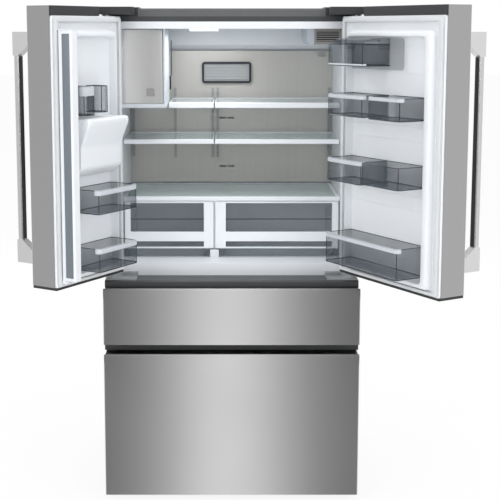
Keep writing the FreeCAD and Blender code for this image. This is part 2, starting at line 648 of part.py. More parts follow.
def air_filter_cover():
    """Small frame with a louvred middle on the back wall."""
    x0 = -117.0
    x1 = x0 + AIR_W
    z0 = UPPER_Z1 + 57.0
    z1 = z0 + AIR_H
    ring = frame_ring(x0, x1, DUCT_FACE - 14.0, DUCT_FACE, z0, z1, 9.0, "y")
    ring = soften(ring, 12.0, Y_AXIS, lambda p: (p.x < x0 + 1 or p.x > x1 - 1))
    back = box(x0 + 5.0, x1 - 5.0, DUCT_FACE - 4.0, DUCT_FACE, z0 + 5.0, z1 - 5.0)
    bars = [box(x0 + 7.0, x1 - 7.0, DUCT_FACE - 10.0, DUCT_FACE - 2.0, z0 + 16.0 + i * 12.0,
                z0 + 20.0 + i * 12.0)
            for i in range(5)]
    return fuse([ring, back] + bars)


# ---- ice maker ----------------------------------------------------------------------
ICE_W = 167.0
ICE_D = 308.0
ICE_H = 284.0
ICE_SETBACK = 54.0
ICE_X1 = -FRIDGE_HALF + ICE_W
ICE_DOOR_X1 = ICE_X1 - 10.0
ICE_Y0 = FRONT + ICE_SETBACK
ICE_Y1 = ICE_Y0 + ICE_D
ICE_Z0 = FRIDGE_CEIL - ICE_H
ICE_BAR_Z = ICE_Z0 + 16.0
ICE_WALL = 4.0
ICE_DOOR_T = 12.0
ICE_PIN_R = 2.5
ICE_PIN_X = -FRIDGE_HALF + 9.0
ICE_PIN_Y = ICE_Y0 + ICE_DOOR_T / 2
LATCH_SIZE = 26.5
LATCH_X0 = ICE_X1 - 67.5
LATCH_X1 = LATCH_X0 + LATCH_SIZE
LATCH_Z0 = ICE_BAR_Z + 27.5
LATCH_Z1 = LATCH_Z0 + LATCH_SIZE
AUGER_X = ICE_X1 - ICE_W / 2 + 0.5
AUGER_Z = ICE_Z0 + 53.0
AUGER_R = 20.0


def ice_box():
    """Ice maker housing under the ceiling, with the sill bar, mould, drive boss and rear duct."""
    x0 = -FRIDGE_HALF
    outer = box(x0, ICE_X1, ICE_Y0 + ICE_DOOR_T + 1.0, ICE_Y1, ICE_Z0, FRIDGE_CEIL)
    inner = box(x0 + ICE_WALL, ICE_X1 - ICE_WALL, ICE_Y0, ICE_Y1 - ICE_WALL, ICE_Z0 + 10.0,
                FRIDGE_CEIL - ICE_WALL)
    bar = box(x0, ICE_X1, ICE_Y0, ICE_Y0 + ICE_DOOR_T + 4.0, ICE_Z0, ICE_BAR_Z)
    bar = soften(bar, 5.0, X_AXIS, lambda p: p.y < ICE_Y0 + 1)
    edge = box(ICE_DOOR_X1 + 1.5, ICE_X1, ICE_Y0, ICE_Y0 + ICE_DOOR_T + 4.0, ICE_BAR_Z, FRIDGE_CEIL)
    edge = soften(edge, 3.5, Z_AXIS, lambda p: p.y < ICE_Y0 + 1)
    duct_z = ICE_Z0 + 141.0
    duct = box(x0, x0 + 120.0, ICE_Y1, DUCT_FACE, duct_z, FRIDGE_CEIL)
    duct_in = box(x0 + ICE_WALL, x0 + 120.0 - ICE_WALL, ICE_Y1 + ICE_WALL, DUCT_FACE - ICE_WALL,
                  duct_z + ICE_WALL, FRIDGE_CEIL - ICE_WALL)
    block = box(ICE_X1, ICE_X1 + 6.0, ICE_Y1 - 26.0, ICE_Y1, ICE_Z0 + 53.0, ICE_Z0 + 105.0)
    mould_y = ICE_Y1 - 160.0
    mould_z = ICE_Z0 + 211.0
    mould = box(x0 + 20.0, ICE_X1 - 20.0, mould_y, ICE_Y1 - ICE_WALL, mould_z, mould_z + 20.0)
    cups = [box(x0 + 26.0, ICE_X1 - 26.0, mould_y + 6.0 + i * 20.0, mould_y + 20.0 + i * 20.0, mould_z + 4.0,
                mould_z + 21.0) for i in range(7)]
    boss = cyl(16.0, (AUGER_X, ICE_Y1 - ICE_WALL - 8.0, AUGER_Z), 8.0, Y_AXIS)
    hole = cyl(ROLLER_PIN + FIT, (AUGER_X, ICE_Y1 - 20.0, AUGER_Z), 17.0, Y_AXIS)
    low_pin = cyl(ICE_PIN_R, (ICE_PIN_X, ICE_PIN_Y, ICE_BAR_Z - 1), 9.0)
    top_pin = cyl(ICE_PIN_R, (ICE_PIN_X, ICE_PIN_Y, FRIDGE_CEIL - 9.0), 9.0)
    top_ear = box(x0, ICE_PIN_X + 4.0, ICE_Y0 + 1.0, ICE_Y0 + ICE_DOOR_T + 4.0, FRIDGE_CEIL - 2.0,
                  FRIDGE_CEIL)
    shell = fuse([outer.cut(inner), bar, edge, duct.cut(duct_in), block, mould.cut(cups), boss, top_ear])
    return fuse([shell.cut(hole), low_pin, top_pin])


def ice_box_door():
    """Front door of the ice maker with hinge bores and the latch pocket."""
    z0 = ICE_BAR_Z + CLEAR
    z1 = FRIDGE_CEIL - 2.0 - CLEAR
    edge_x = -FRIDGE_HALF + 2.5
    door = box(edge_x, ICE_DOOR_X1, ICE_Y0, ICE_Y0 + ICE_DOOR_T, z0, z1)
    door = soften(door, 5.5, Z_AXIS, lambda p: p.x < edge_x + 1)
    door = soften(door, 3.0, None, lambda p: p.y < ICE_Y0 + 0.5 and p.x > edge_x + 20.0)
    bores = [cyl(ICE_PIN_R + FIT, (ICE_PIN_X, ICE_PIN_Y, z0 - 1), 10.0),
             cyl(ICE_PIN_R + FIT, (ICE_PIN_X, ICE_PIN_Y, z1 - 9.0), 10.0)]
    pocket = box(LATCH_X0 - CLEAR, LATCH_X1 + CLEAR, ICE_Y0 - 1, ICE_Y0 + 9.0, LATCH_Z0 - CLEAR,
                 LATCH_Z1 + CLEAR)
    return door.cut(bores + [pocket])


def ice_latch():
    """Square push button in the ice door."""
    button = box(LATCH_X0, LATCH_X1, ICE_Y0 - 3.0, ICE_Y0 + 5.0, LATCH_Z0, LATCH_Z1)
    return soften(button, 4.0, Y_AXIS)


def ice_bin():
    """Ice bucket with a hole in its back wall for the auger shaft."""
    bucket = tray(-FRIDGE_HALF + 9.0, ICE_X1 - 10.0, ICE_Y0 + 18.0, ICE_Y1 - 22.0, ICE_Z0 + 10.3,
                  ICE_Z0 + 171.0, 2.5, 10.0)
    hole = cyl(9.0, (AUGER_X, ICE_Y1 - 30.0, AUGER_Z), 12.0, Y_AXIS)
    chute = box(AUGER_X - 26.0, AUGER_X + 26.0, ICE_Y0 + 26.0, ICE_Y0 + 68.0, ICE_Z0 + 10.0, ICE_Z0 + 15.0)
    return bucket.cut([hole, chute])


def ice_auger():
    """Shaft with slanted paddles that pushes the ice forward."""
    shaft = cyl(ROLLER_PIN, (AUGER_X, ICE_Y0 + 33.0, AUGER_Z), ICE_D - 43.0, Y_AXIS)
    parts = [shaft]
    for i in range(12):
        y = ICE_Y0 + 42.0 + i * 19.0
        paddle = box(AUGER_X - 3.0, AUGER_X + 3.0, y, y + 6.0, AUGER_Z, AUGER_Z + AUGER_R)
        paddle.rotate(V3(AUGER_X, 0, AUGER_Z), Y_AXIS, 40.0 * i)
        parts.append(paddle)
    return fuse(parts)


# ---- shelves and crispers -----------------------------------------------------------
SHELF_SETBACK = 174.0
SHELF_FRONT = FRONT + SHELF_SETBACK
TRACK_Y0 = DUCT_FACE - 8.0
SHELF_BACK = TRACK_Y0 - 16.0
SHELF_MID = -64.0
CRISPER_H = 211.0
CRISPER_TOP = FRIDGE_LIP + CRISPER_H
COVER_TOP = CRISPER_TOP + 16.0
PANEL_Z = COVER_TOP + 4.0
UPPER_T = 20.0
MID_T = 17.0
MID_SHARE = 0.5877
UPPER_Z0 = ICE_Z0 - 8.0
UPPER_Z1 = UPPER_Z0 + UPPER_T
MID_Z0 = round(COVER_TOP + (UPPER_Z0 - COVER_TOP) * MID_SHARE, 1)
MID_Z1 = MID_Z0 + MID_T
SHELF_END = FRIDGE_HALF - 3.0
RIM = 16.0
TRIM_D = 12.0
GLASS_T = 4.0
SHELVES = [(ICE_X1 + 6.0, SHELF_MID - 2.0, UPPER_Z0, UPPER_Z1), (SHELF_MID + 2.0, SHELF_END, UPPER_Z0,
                                                                 UPPER_Z1),
           (-SHELF_END, SHELF_MID - 2.0, MID_Z0, MID_Z1), (SHELF_MID + 2.0, SHELF_END, MID_Z0, MID_Z1)]
CRISPER_SETBACK = 124.0
CRISPER_Y0 = FRONT + CRISPER_SETBACK
CRISPER_Y1 = DUCT_FACE - 15.0
COVER_Y0 = CRISPER_Y0 - 6.0
COVER_SIDE = FRIDGE_HALF - 3.5
PANE_HALF = COVER_SIDE - 13.5
POST_X0 = SHELF_MID - 1.0
POST_X1 = SHELF_MID + 1.5
FACE_Z0 = FRIDGE_LIP + 31.0


def shelf_tracks():
    """Slotted uprights on the back wall that the shelves hang on."""
    rails = []
    end = FRIDGE_HALF - 13.0
    for x in (-end, ICE_X1 + 14.0, SHELF_MID - 10.0, SHELF_MID + 10.0, end):
        z0 = MID_Z0 - 82.0 if x == -end else MID_Z0 - 87.0
        z1 = UPPER_Z0 - 2.0 if x == -end else UPPER_Z1 + 39.0
        rail = box(x - 5.0, x + 5.0, TRACK_Y0, DUCT_FACE, z0, z1)
        slots = [box(x - 1.5, x + 1.5, TRACK_Y0 - 1, DUCT_FACE - 2.0, z, z + 10.0)
                 for z in range(int(z0) + 12, int(z1) - 12, 24)]
        rails.append(rail.cut(slots))
    return rails


def shelf_frame(x0, x1, z0, z1):
    """White frame of one shelf with a front trim, side brackets and hooks to the track."""
    trim = box(x0, x1, SHELF_FRONT, SHELF_FRONT + TRIM_D, z0, z1)
    trim = soften(trim, 3.0, X_AXIS, lambda p: p.y < SHELF_FRONT + 1)
    back = box(x0, x1, SHELF_BACK - TRIM_D, SHELF_BACK, z1 - 12.0, z1)
    parts = [trim, back]
    drop = 19.0 if z0 == UPPER_Z0 else 26.0
    for xa in (x0, x1 - 4.0):
        parts.append(box(xa, xa + 4.0, SHELF_FRONT + 2.0, SHELF_BACK, z1 - 13.0, z1))
        arm = [(SHELF_FRONT + 2.0, z0 + 1.0), (SHELF_BACK, z0 - drop), (TRACK_Y0, z0 - drop), (TRACK_Y0,
                                                                                               z1 - 2.0),
               (SHELF_FRONT + 2.0, z1 - 2.0)]
        parts.append(plate_from(arm, xa, 3.0, "yz"))
    return fuse(parts)


def shelf_frames():
    """Frames of the four glass shelves."""
    return [shelf_frame(*s) for s in SHELVES]


def shelf_panes():
    """Glass of the four shelves and of the crisper cover."""
    panes = []
    for x0, x1, _z0, z1 in SHELVES:
        panes.append(box(x0 + 4.0, x1 - 4.0, SHELF_FRONT + TRIM_D, SHELF_BACK - TRIM_D,
                         z1 - GLASS_T - 2.0, z1 - 2.0))
    panes.append(box(-PANE_HALF, PANE_HALF, COVER_Y0 + 14.0, CRISPER_Y1 - 6.0, COVER_TOP - GLASS_T - 1.0,
                     COVER_TOP - 1.0))
    return panes


def crisper_cover():
    """Frame over the two crispers with the centre divider and its base post."""
    z0 = CRISPER_TOP + CLEAR
    front = box(-COVER_SIDE, COVER_SIDE, COVER_Y0, COVER_Y0 + 14.0, z0, COVER_TOP)
    front = soften(front, 3.0, X_AXIS, lambda p: p.y < COVER_Y0 + 1)
    parts = [front, box(-COVER_SIDE, COVER_SIDE, CRISPER_Y1 - 6.0, CRISPER_Y1 + 14.0, z0, COVER_TOP)]
    for side in (-1, 1):
        inner, outer, wall = sorted((side * PANE_HALF, side * COVER_SIDE, side * FRIDGE_HALF), key=abs)
        parts.append(box(min(inner, outer), max(inner, outer), COVER_Y0, CRISPER_Y1 + 14.0, z0, COVER_TOP))
        parts.append(box(min(outer, wall), max(outer, wall), COVER_Y0 + 60.0, CRISPER_Y1,
                         CRISPER_TOP + 4.0, COVER_TOP - 4.0))
    mid = (POST_X0 + POST_X1) / 2
    parts.append(box(mid - 12.0, mid + 12.0, COVER_Y0, CRISPER_Y1 + 14.0, CRISPER_TOP + CLEAR,
                     COVER_TOP - 5.0))
    parts.append(box(mid - 0.8, mid + 0.8, CRISPER_Y0 + 24.0, CRISPER_Y1 + 14.0, FRIDGE_FLOOR,
                     CRISPER_TOP + 2.0))
    parts.append(box(mid - 16.0, mid + 16.0, COVER_Y0 + 2.0, CRISPER_Y0 - 2.0, FRIDGE_LIP,
                     FRIDGE_LIP + 28.0))
    parts.append(box(mid - 0.8, mid + 0.8, COVER_Y0 + 2.0, CRISPER_Y0 + 30.0, FRIDGE_LIP, CRISPER_TOP + 2.0))
    return fuse(parts)


def crisper(x0, x1, stile0, stile1):
    """Smoke bin and white front frame with two windows, a handle band and a recessed grip."""
    face_t = 16.0
    front = box(x0, x1, CRISPER_Y0, CRISPER_Y0 + face_t, FACE_Z0, CRISPER_TOP - 1.0)
    front = soften(front, 4.0, None, lambda p: p.y < CRISPER_Y0 + 0.5)
    w0 = x0 + stile0
    w1 = x1 - stile1
    windows = [box(w0, w1, CRISPER_Y0 - 1, CRISPER_Y0 + face_t + 1, FACE_Z0 + 64.0, CRISPER_TOP - 8.0),
               box(w0, w1, CRISPER_Y0 - 1, CRISPER_Y0 + face_t + 1, FACE_Z0 + 6.5, FACE_Z0 + 28.0)]
    grip = box(w0 + 6.0, w1 - 6.0, CRISPER_Y0 + 6.0, CRISPER_Y0 + face_t + 1, FACE_Z0 + 32.0, FACE_Z0 + 70.0)
    front = front.cut(windows + [grip])
    b0 = max(x0 + 3.0, w0 - 8.0)
    b1 = min(x1 - 3.0, w1 + 8.0)
    z0 = FRIDGE_LIP + 2.0
    bin_shape = tray(b0, b1, CRISPER_Y0 + face_t, CRISPER_Y1 - 8.0, z0, CRISPER_TOP - 4.0, 2.5, 8.0)
    step = box(w0 + 2.0, w1 - 2.0, CRISPER_Y0 + 4.0, CRISPER_Y0 + face_t, z0, FACE_Z0 - CLEAR)
    step_in = box(w0 + 4.5, w1 - 4.5, CRISPER_Y0 + 6.5, CRISPER_Y0 + face_t + 5.0, z0 + 2.5, FACE_Z0 + CLEAR)
    lower = bin_shape.fuse(step).cut(step_in)
    panes = [box(w0, w1, CRISPER_Y0 + face_t - 2.5, CRISPER_Y0 + face_t, FACE_Z0 + 72.0, CRISPER_TOP - 8.0),
             box(w0, w1, CRISPER_Y0 + face_t - 2.5, CRISPER_Y0 + face_t, FACE_Z0 + 6.5, FACE_Z0 + 28.0)]
    lower = lower.fuse(panes).removeSplitter()
    return [front.cut(lower), lower]


def crisper_left():
    """Left crisper."""
    return crisper(-FRIDGE_HALF + 7.0, POST_X0 - CLEAR, 22.0, 37.5)


def crisper_right():
    """Right crisper."""
    return crisper(POST_X1 + CLEAR, FRIDGE_HALF - 6.5, 40.5, 24.5)


# ---- drawer slides ------------------------------------------------------------------
SLIDE_T = 7.0
SLIDE_GAP = 0.3
SLIDE_H = 34.0
SLIDE_Y0 = FRONT + 17.0
SLIDE_L = FREEZER_DUCT_Y - SLIDE_Y0 - 1.0
FLEX_SLIDE_Z = FLEX_FLOOR + 46.0
FREEZER_SLIDE_Z = STEP_Z + 30.0


def slide_member(step, z, length=SLIDE_L, height=SLIDE_H):
    """One member on the left wall; step counts members away from the wall."""
    x0 = -DRAWER_HALF + step * (SLIDE_T + SLIDE_GAP)
    lip = min(4.0, height / 6)
    bar = box(x0, x0 + SLIDE_T, SLIDE_Y0, SLIDE_Y0 + length, z - height / 2, z + height / 2)
    groove = box(x0 + SLIDE_T / 2, x0 + SLIDE_T + 1, SLIDE_Y0 - 1, SLIDE_Y0 + length + 1,
                 z - height / 2 + lip, z + height / 2 - lip)
    return bar.cut(groove)


def drawer_rails():
    """Fixed outer members on both walls of both drawer compartments."""
    return both(slide_member(0, FLEX_SLIDE_Z)) + both(slide_member(0, FREEZER_SLIDE_Z))


def mid_slides(z):
    """Middle members of one drawer."""
    return both(slide_member(1, z, SLIDE_L - 10.0, SLIDE_H - 4.0))


# ---- drawers ------------------------------------------------------------------------
LIP_H = 7.0
CHANNEL_D = 22.0
CHANNEL_H = 26.0
PAN_T = 1.5
BIN_HALF = DRAWER_HALF - 33.0


def drawer_front(z0, z1, body_top):
    """Folded steel front with a bevelled pull lip and a finger channel behind it."""
    outer = box(-HALF, HALF, FACE_Y, FACE_Y + DOOR_T, z0, body_top)
    outer = soften(outer, 5.0, Z_AXIS, lambda p: p.y < FACE_Y + 1)
    inner = box(-HALF + PAN_T, HALF - PAN_T, FACE_Y + PAN_T, FACE_Y + DOOR_T + 1, z0 + PAN_T,
                body_top - PAN_T)
    channel = box(-HALF - 1, HALF + 1, FACE_Y + 4.0, FACE_Y + 4.0 + CHANNEL_D, body_top - CHANNEL_H,
                  body_top + 1)
    liner = box(-HALF + PAN_T, HALF - PAN_T, FACE_Y + 4.0 - PAN_T, FACE_Y + 4.0 + CHANNEL_D + PAN_T,
                body_top - CHANNEL_H - PAN_T, body_top - PAN_T)
    lip = plate_from([(FACE_Y, body_top - CHANNEL_H), (FACE_Y, z1 - LIP_H), (FACE_Y + 2.0, z1),
                      (FACE_Y + 9.0, z1), (FACE_Y + 9.0, z1 - 3.0), (FACE_Y + 4.0, z1 - LIP_H - 3.0),
                      (FACE_Y + 4.0, body_top - CHANNEL_H)], -HALF + 1.0, CASE_W - 2.0, "yz")
    shell = outer.cut(inner).fuse(liner).cut(channel)
    return shell.fuse(lip).removeSplitter()


def drawer_gasket(z0, z1):
    """Gasket ring behind one drawer front."""
    x = FLANGE_HALF - 2.0
    return frame_ring(-x, x, FACE_Y + DOOR_T, FACE_Y + DOOR_T + GASKET_T, z0, z1, 13.0, "y")


def drawer_frame(z0, z1, slide_z, arm_z, dike_z0, dike_z1):
    """Inner panel of a drawer with its raised field, inner slide members and the bin carriers."""
    y0 = FACE_Y + DOOR_T - 8.0
    y1 = FACE_Y + DOOR_T
    panel = box(-HALF + 2 * PAN_T, HALF - 2 * PAN_T, y0, y1, z0, z1)
    half = DRAWER_HALF - 13.0
    dike = box(-half, half, y0, y1 + 18.0, dike_z0, dike_z1)
    dike = soften(dike, 10.0, None, lambda p: p.y > y1 + 17.0)
    hollow = box(-half + 3.0, half - 3.0, y0 - 1, y1 + 15.0, dike_z0 + 3.0, dike_z1 - 3.0)
    arms = []
    member = slide_member(2, slide_z, SLIDE_L - 20.0, SLIDE_H - 8.0)
    x0 = -DRAWER_HALF + 2 * (SLIDE_T + SLIDE_GAP)
    post = box(x0, x0 + SLIDE_T, y0 + 2.0, SLIDE_Y0 + 4.0, slide_z - 20.0, slide_z + 13.0)
    shelf = box(x0, -BIN_HALF + 12.0, y1, SLIDE_Y0 + SLIDE_L - 40.0, arm_z - 3.0, arm_z)
    web = box(x0, x0 + 3.0, y1, SLIDE_Y0 + SLIDE_L - 40.0, min(arm_z - 3.0, slide_z - 13.0),
              max(arm_z - 3.0, slide_z - 13.0) + 1.0)
    for piece in (member, post, shelf, web):
        arms.extend(both(piece))
    return fuse([panel.fuse(dike).cut(hollow)] + arms)


FLEX_BODY_TOP = LEDGE_Z0 - 3.0
FREEZER_BODY_TOP = FREEZER_CEIL
FLEX_ARM_Z = FLEX_SLIDE_Z - 24.0
FREEZER_ARM_Z = FREEZER_SLIDE_Z - 24.0
BIN_Y0 = FRONT + 30.0
FLEX_BIN_Y1 = DRAWER_BACK - 48.0
BASKET_Y1 = STEP_BACK - 30.0
BASKET_Z0 = FREEZER_FLOOR + 14.0
BASKET_Z1 = FREEZER_CEIL - 128.0
TRAY_H = 79.0
TRAY_Z0 = BASKET_Z1 + 3.0
TRAY_Z1 = TRAY_Z0 + TRAY_H
TRAY_Y1 = BASKET_Y1 - 70.0


def flex_bin():
    """Shallow bin with a rolled rim that rests on the carriers."""
    z0 = FLEX_FLOOR + 8.0
    z1 = FLEX_CEIL - 24.0
    body = tray(-BIN_HALF + 14.0, BIN_HALF - 14.0, BIN_Y0, FLEX_BIN_Y1, z0, z1, 3.0, 22.0)
    ledge = frame_ring(-BIN_HALF, BIN_HALF, BIN_Y0, FLEX_BIN_Y1, FLEX_ARM_Z, FLEX_ARM_Z + 4.0, 15.0, "z")
    rim = frame_ring(-BIN_HALF + 8.0, BIN_HALF - 8.0, BIN_Y0, FLEX_BIN_Y1, z1 - 4.0, z1 + 2.0, 9.0, "z")
    keep = box(-BIN_HALF + 17.0, BIN_HALF - 17.0, BIN_Y0 + 3.0, FLEX_BIN_Y1 - 3.0, z0 + 3.0, z1 + 8.0)
    return fuse([body, ledge, rim]).cut(soften(keep, 19.0, Z_AXIS))


def freezer_basket():
    """Deep basket with slotted sides, hung on the carriers by a ledge."""
    z0 = BASKET_Z0
    z1 = BASKET_Z1
    upper = z1 - FREEZER_ARM_Z - 9.0
    rows = ((z0 + 38.0, z0 + 80.0), (FREEZER_ARM_Z - 86.0, FREEZER_ARM_Z - 44.0),
            (FREEZER_ARM_Z + 4.0 + 0.3 * upper, FREEZER_ARM_Z + 4.0 + 0.7 * upper))
    body = tray(-BIN_HALF + 14.0, BIN_HALF - 14.0, BIN_Y0, BASKET_Y1, z0, z1, 3.5, 24.0)
    slots = []
    for i in range(9):
        x = -BIN_HALF + 60.0 + i * (2 * BIN_HALF - 120.0) / 8
        for low, high in rows:
            slots.append(box(x - 26.0, x + 26.0, BIN_Y0 - 1, BASKET_Y1 + 1, low, high))
    ledge = frame_ring(-BIN_HALF, BIN_HALF, BIN_Y0, BASKET_Y1, FREEZER_ARM_Z, FREEZER_ARM_Z + 4.0, 15.0, "z")
    rim = frame_ring(-BIN_HALF + 8.0, BIN_HALF - 8.0, BIN_Y0, BASKET_Y1, z1 - 5.0, z1 + 2.0, 12.0, "z")
    inner = box(-BIN_HALF + 17.5, BIN_HALF - 17.5, BIN_Y0 + 3.5, BASKET_Y1 - 3.5, z0 + 3.5, z1 + 4.0)
    keep = soften(inner, 20.5, Z_AXIS)
    return fuse([body, ledge, rim]).cut([keep] + slots)


def freezer_tray():
    """Sliding upper tray that runs on the rim of the basket."""
    body = tray(-BIN_HALF + 22.0, BIN_HALF - 22.0, BIN_Y0 + 8.0, TRAY_Y1, TRAY_Z0, TRAY_Z1, 3.0, 16.0)
    slots = []
    for i in range(10):
        x = -BIN_HALF + 60.0 + i * (2 * BIN_HALF - 120.0) / 9
        slots.append(box(x - 20.0, x + 20.0, BIN_Y0, TRAY_Y1 + 1, TRAY_Z0 + 22.0, TRAY_Z0 + 46.0))
    rim = frame_ring(-BIN_HALF + 18.0, BIN_HALF - 18.0, BIN_Y0 + 4.0, TRAY_Y1 + 4.0, TRAY_Z1 - 4.0,
                     TRAY_Z1, 8.0, "z")
    inner = box(-BIN_HALF + 25.0, BIN_HALF - 25.0, BIN_Y0 + 11.0, TRAY_Y1 - 3.0, TRAY_Z0 + 3.0,
                TRAY_Z1 + 1.0)
    runner = box(BIN_HALF - 25.0, BIN_HALF - 10.0, BIN_Y0 + 14.0, TRAY_Y1, TRAY_Z0 - 0.7, TRAY_Z0 + 4.0)
    return fuse([body, rim] + both(runner)).cut([soften(inner, 13.0, Z_AXIS)] + slots)


# ---- doors, drawn closed in U (across), V (inwards), Z ------------------------------
DIKE_V = DOOR_T + 24.0
DIKE_FOOT = 55.0
DIKE_TOP0 = DIKE_FOOT + 2.0
DIKE_TOP1 = DIKE_FOOT + 5.5
FIELD_U0 = DIKE_FOOT + 7.0
DIKE_Z0 = FRIDGE_LIP + 9.0
DIKE_Z1 = FRIDGE_CEIL - 1.0
FIELD_Z0 = DIKE_Z0 + 28.0
FIELD_Z1 = DIKE_Z1 - 28.0
LEFT_FIELD_U1 = LEFT_W - 85.0
LEFT_DIKE_U1 = LEFT_W - 52.0
RIGHT_FIELD_U1 = RIGHT_W - 75.0
RIGHT_DIKE_U1 = RIGHT_W - 36.0
HANDLE_Z0 = SHELL_Z0 + 71.0
HANDLE_Z1 = CAP_Z0 - 52.0
HANDLE_IN = 20.0
BRACKET_H = 78.0
FLIP_U = LEFT_W - 22.0
FLIP_V = DOOR_T + 22.5
FLIP_Z0 = DIKE_Z0 + 12.0
FLIP_Z1 = DIKE_Z1 - 5.0
DISP_W = 186.0
DISP_H = 360.0
DISP_DEPTH = 72.0
BULGE_H = 196.0
BULGE_SHARE = 0.4087
BULGE_Z0 = round(FIELD_Z0 + (FIELD_Z1 - FIELD_Z0) * BULGE_SHARE)
BULGE_Z1 = BULGE_Z0 + BULGE_H
DISP_U0 = (LEFT_W - DISP_W) / 2
DISP_U1 = DISP_U0 + DISP_W
DISP_Z0 = BULGE_Z0 - 94.0
DISP_Z1 = DISP_Z0 + DISP_H
PADDLE_Z = DISP_Z1 - 130.0
PADDLE_V = DISP_DEPTH - 14.0
PADDLE_L = 125.0


def place_left(shape):
    """Closed door coordinates to the open left door at rest."""
    placed = shape.copy()
    placed.translate(V3(-HALF, FACE_Y, 0))
    placed.rotate(V3(-PIVOT_X, PIVOT_Y, 0), Z_AXIS, -LEFT_OPEN)
    return placed


def place_right(shape):
    """Closed door coordinates to the open right door at rest."""
    placed = mirror_x(shape)
    placed.translate(V3(HALF, FACE_Y, 0))
    placed.rotate(V3(PIVOT_X, PIVOT_Y, 0), Z_AXIS, RIGHT_OPEN)
    return placed


def rectangle(u0, u1, z0, z1, v):
    """Closed wire of a rectangle at depth V."""
    points = [V3(u0, v, z0), V3(u1, v, z0), V3(u1, v, z1), V3(u0, v, z1), V3(u0, v, z0)]
    return Part.makePolygon(points)


def frustum(low, high, v0, v1):
    """Straight loft between two rectangles (u0, u1, z0, z1) at two depths."""
    return Part.makeLoft([rectangle(*low, v0), rectangle(*high, v1)], True, True)


def door_shell(width):
    """Steel wrap with end caps, the cut-down hinge zone and both hinge bores."""
    wrap = box(0, width, 0, LINER_V - SHEET, SHELL_Z0, DOOR_Z1)
    wrap = soften(wrap, DOOR_EDGE_R, Z_AXIS, lambda p: p.y < 1)
    inside = box(STEEL, width - STEEL, STEEL, LINER_V, SHELL_Z0 - 1, DOOR_Z1 + 1)
    inside = soften(inside, DOOR_EDGE_R - STEEL, Z_AXIS, lambda p: p.y < STEEL + 1)
    corner = box(-1, HINGE_ZONE, -1, DOOR_T + 1, CAP_Z0, DOOR_Z1 + 1)
    skin = wrap.cut([inside, corner])
    top = box(HINGE_ZONE, width, 0, LINER_V - SHEET, DOOR_Z1 - 4.0, DOOR_Z1)
    top = soften(top, DOOR_EDGE_R, Z_AXIS, lambda p: p.y < 1 and p.x > HINGE_ZONE + 1)
    cheek = box(HINGE_ZONE, HINGE_ZONE + 3.0, STEEL, LINER_V - SHEET, CAP_Z0 - 3.0, DOOR_Z1)
    deck = box(STEEL, HINGE_ZONE + 3.0, STEEL, LINER_V - SHEET, CAP_Z0 - 3.0, CAP_Z0)
    rear = box(HINGE_ZONE, width, LINER_V - SHEET, DOOR_T, CAP_Z0 + CLEAR, DOOR_Z1)
    socket = box(4.0, 40.0, 30.0, 80.0, SOCKET_Z0, CAP_Z0)
    bottom = box(1.0, width - 1.0, 1.0, DOOR_T - 1.0, DOOR_Z0, SHELL_Z0)
    bottom = soften(bottom, DOOR_EDGE_R, Z_AXIS, lambda p: p.y < 2)
    body = fuse([skin, top, cheek, deck, rear, socket, bottom])
    high = cyl(PIN_R + FIT, (PIVOT_U, PIVOT_V, SOCKET_Z0 - 1), DOOR_Z1)
    low = cyl(PIN_R + FIT, (PIVOT_U, PIVOT_V, DOOR_Z0 - 1), SHELL_Z0 - DOOR_Z0 + 2)
    return body.cut([high, low])


def door_liner(width, field_u1, dike_u1):
    """Moulded inner panel: flange, raised perimeter dike and sunk field."""
    top = CAP_Z0
    slab = box(2.0, width - 2.0, LINER_V - SHEET, DOOR_T, SHELL_Z0, top)
    outer0 = (DIKE_FOOT, dike_u1, DIKE_Z0, DIKE_Z1)
    outer1 = (DIKE_TOP0, dike_u1 - 8.0, DIKE_Z0 + 8.0, DIKE_Z1 - 10.0)
    inner1 = (DIKE_TOP1, field_u1 + 6.0, FIELD_Z0 - 8.0, FIELD_Z1 + 4.0)
    inner0 = (FIELD_U0, field_u1, FIELD_Z0, FIELD_Z1)
    raised = frustum(outer0, outer1, DOOR_T - 1.0, DIKE_V)
    pocket = frustum(inner0, inner1, LINER_V, DIKE_V + CLEAR)
    t = 3.0
    hollow0 = (inner0[0], outer0[1] - t, outer0[2] + t, outer0[3] - t)
    hollow1 = (inner0[0], outer1[1] - t, outer1[2] + t, outer1[3] - t)
    core0 = (inner0[0] - t, inner0[1] + t, inner0[2] - t, inner0[3] + t)
    core1 = (inner1[0] - t, inner1[1] + t, inner1[2] - t, inner1[3] + t)
    hollow = frustum(hollow0, hollow1, LINER_V - SHEET - 1, DIKE_V - t)
    core = frustum(core0, core1, LINER_V - SHEET - 2, DIKE_V)
    return slab.fuse(raised).removeSplitter().cut([pocket, hollow.cut(core)])


def door_gasket(u0, u1, strand):
    """Gasket ring between the liner flange and the case front."""
    z0 = SHELL_Z0 + 4.0
    z1 = CAP_Z0 - 5.0
    ring = box(u0, u1, DOOR_T, DOOR_T + GASKET_T, z0, z1)
    opening = box(u0 + 12.0, u1 - strand, DOOR_T - 1, DOOR_T + SEAL, z0 + 10.0, z1 - 14.0)
    return ring.cut(opening)


def door_handle(u_mid):
    """Bar handle standing on two brackets."""
    z0 = HANDLE_Z0
    z1 = HANDLE_Z1
    bar = box(u_mid - 12.0, u_mid + 12.0, -65.0, -44.0, z0 + 4.0, z1 - 4.0)
    bar = soften(bar, 5.0, Z_AXIS)
    parts = [bar]
    for low, high, inner, rise in ((z0, z0 + BRACKET_H, z0 + BRACKET_H, -34.0),
                                   (z1 - BRACKET_H, z1, z1 - BRACKET_H, 34.0)):
        block = box(u_mid - 14.0, u_mid + 14.0, -70.0, 0, low, high)
        slope = plate_from([(0, inner), (-44.0, inner), (0, inner + rise)], u_mid - 15.0, 30.0, "yz")
        block = block.cut(slope)
        parts.append(soften(block, 5.0, Z_AXIS, lambda p: p.y < -60.0))
    return fuse(parts)


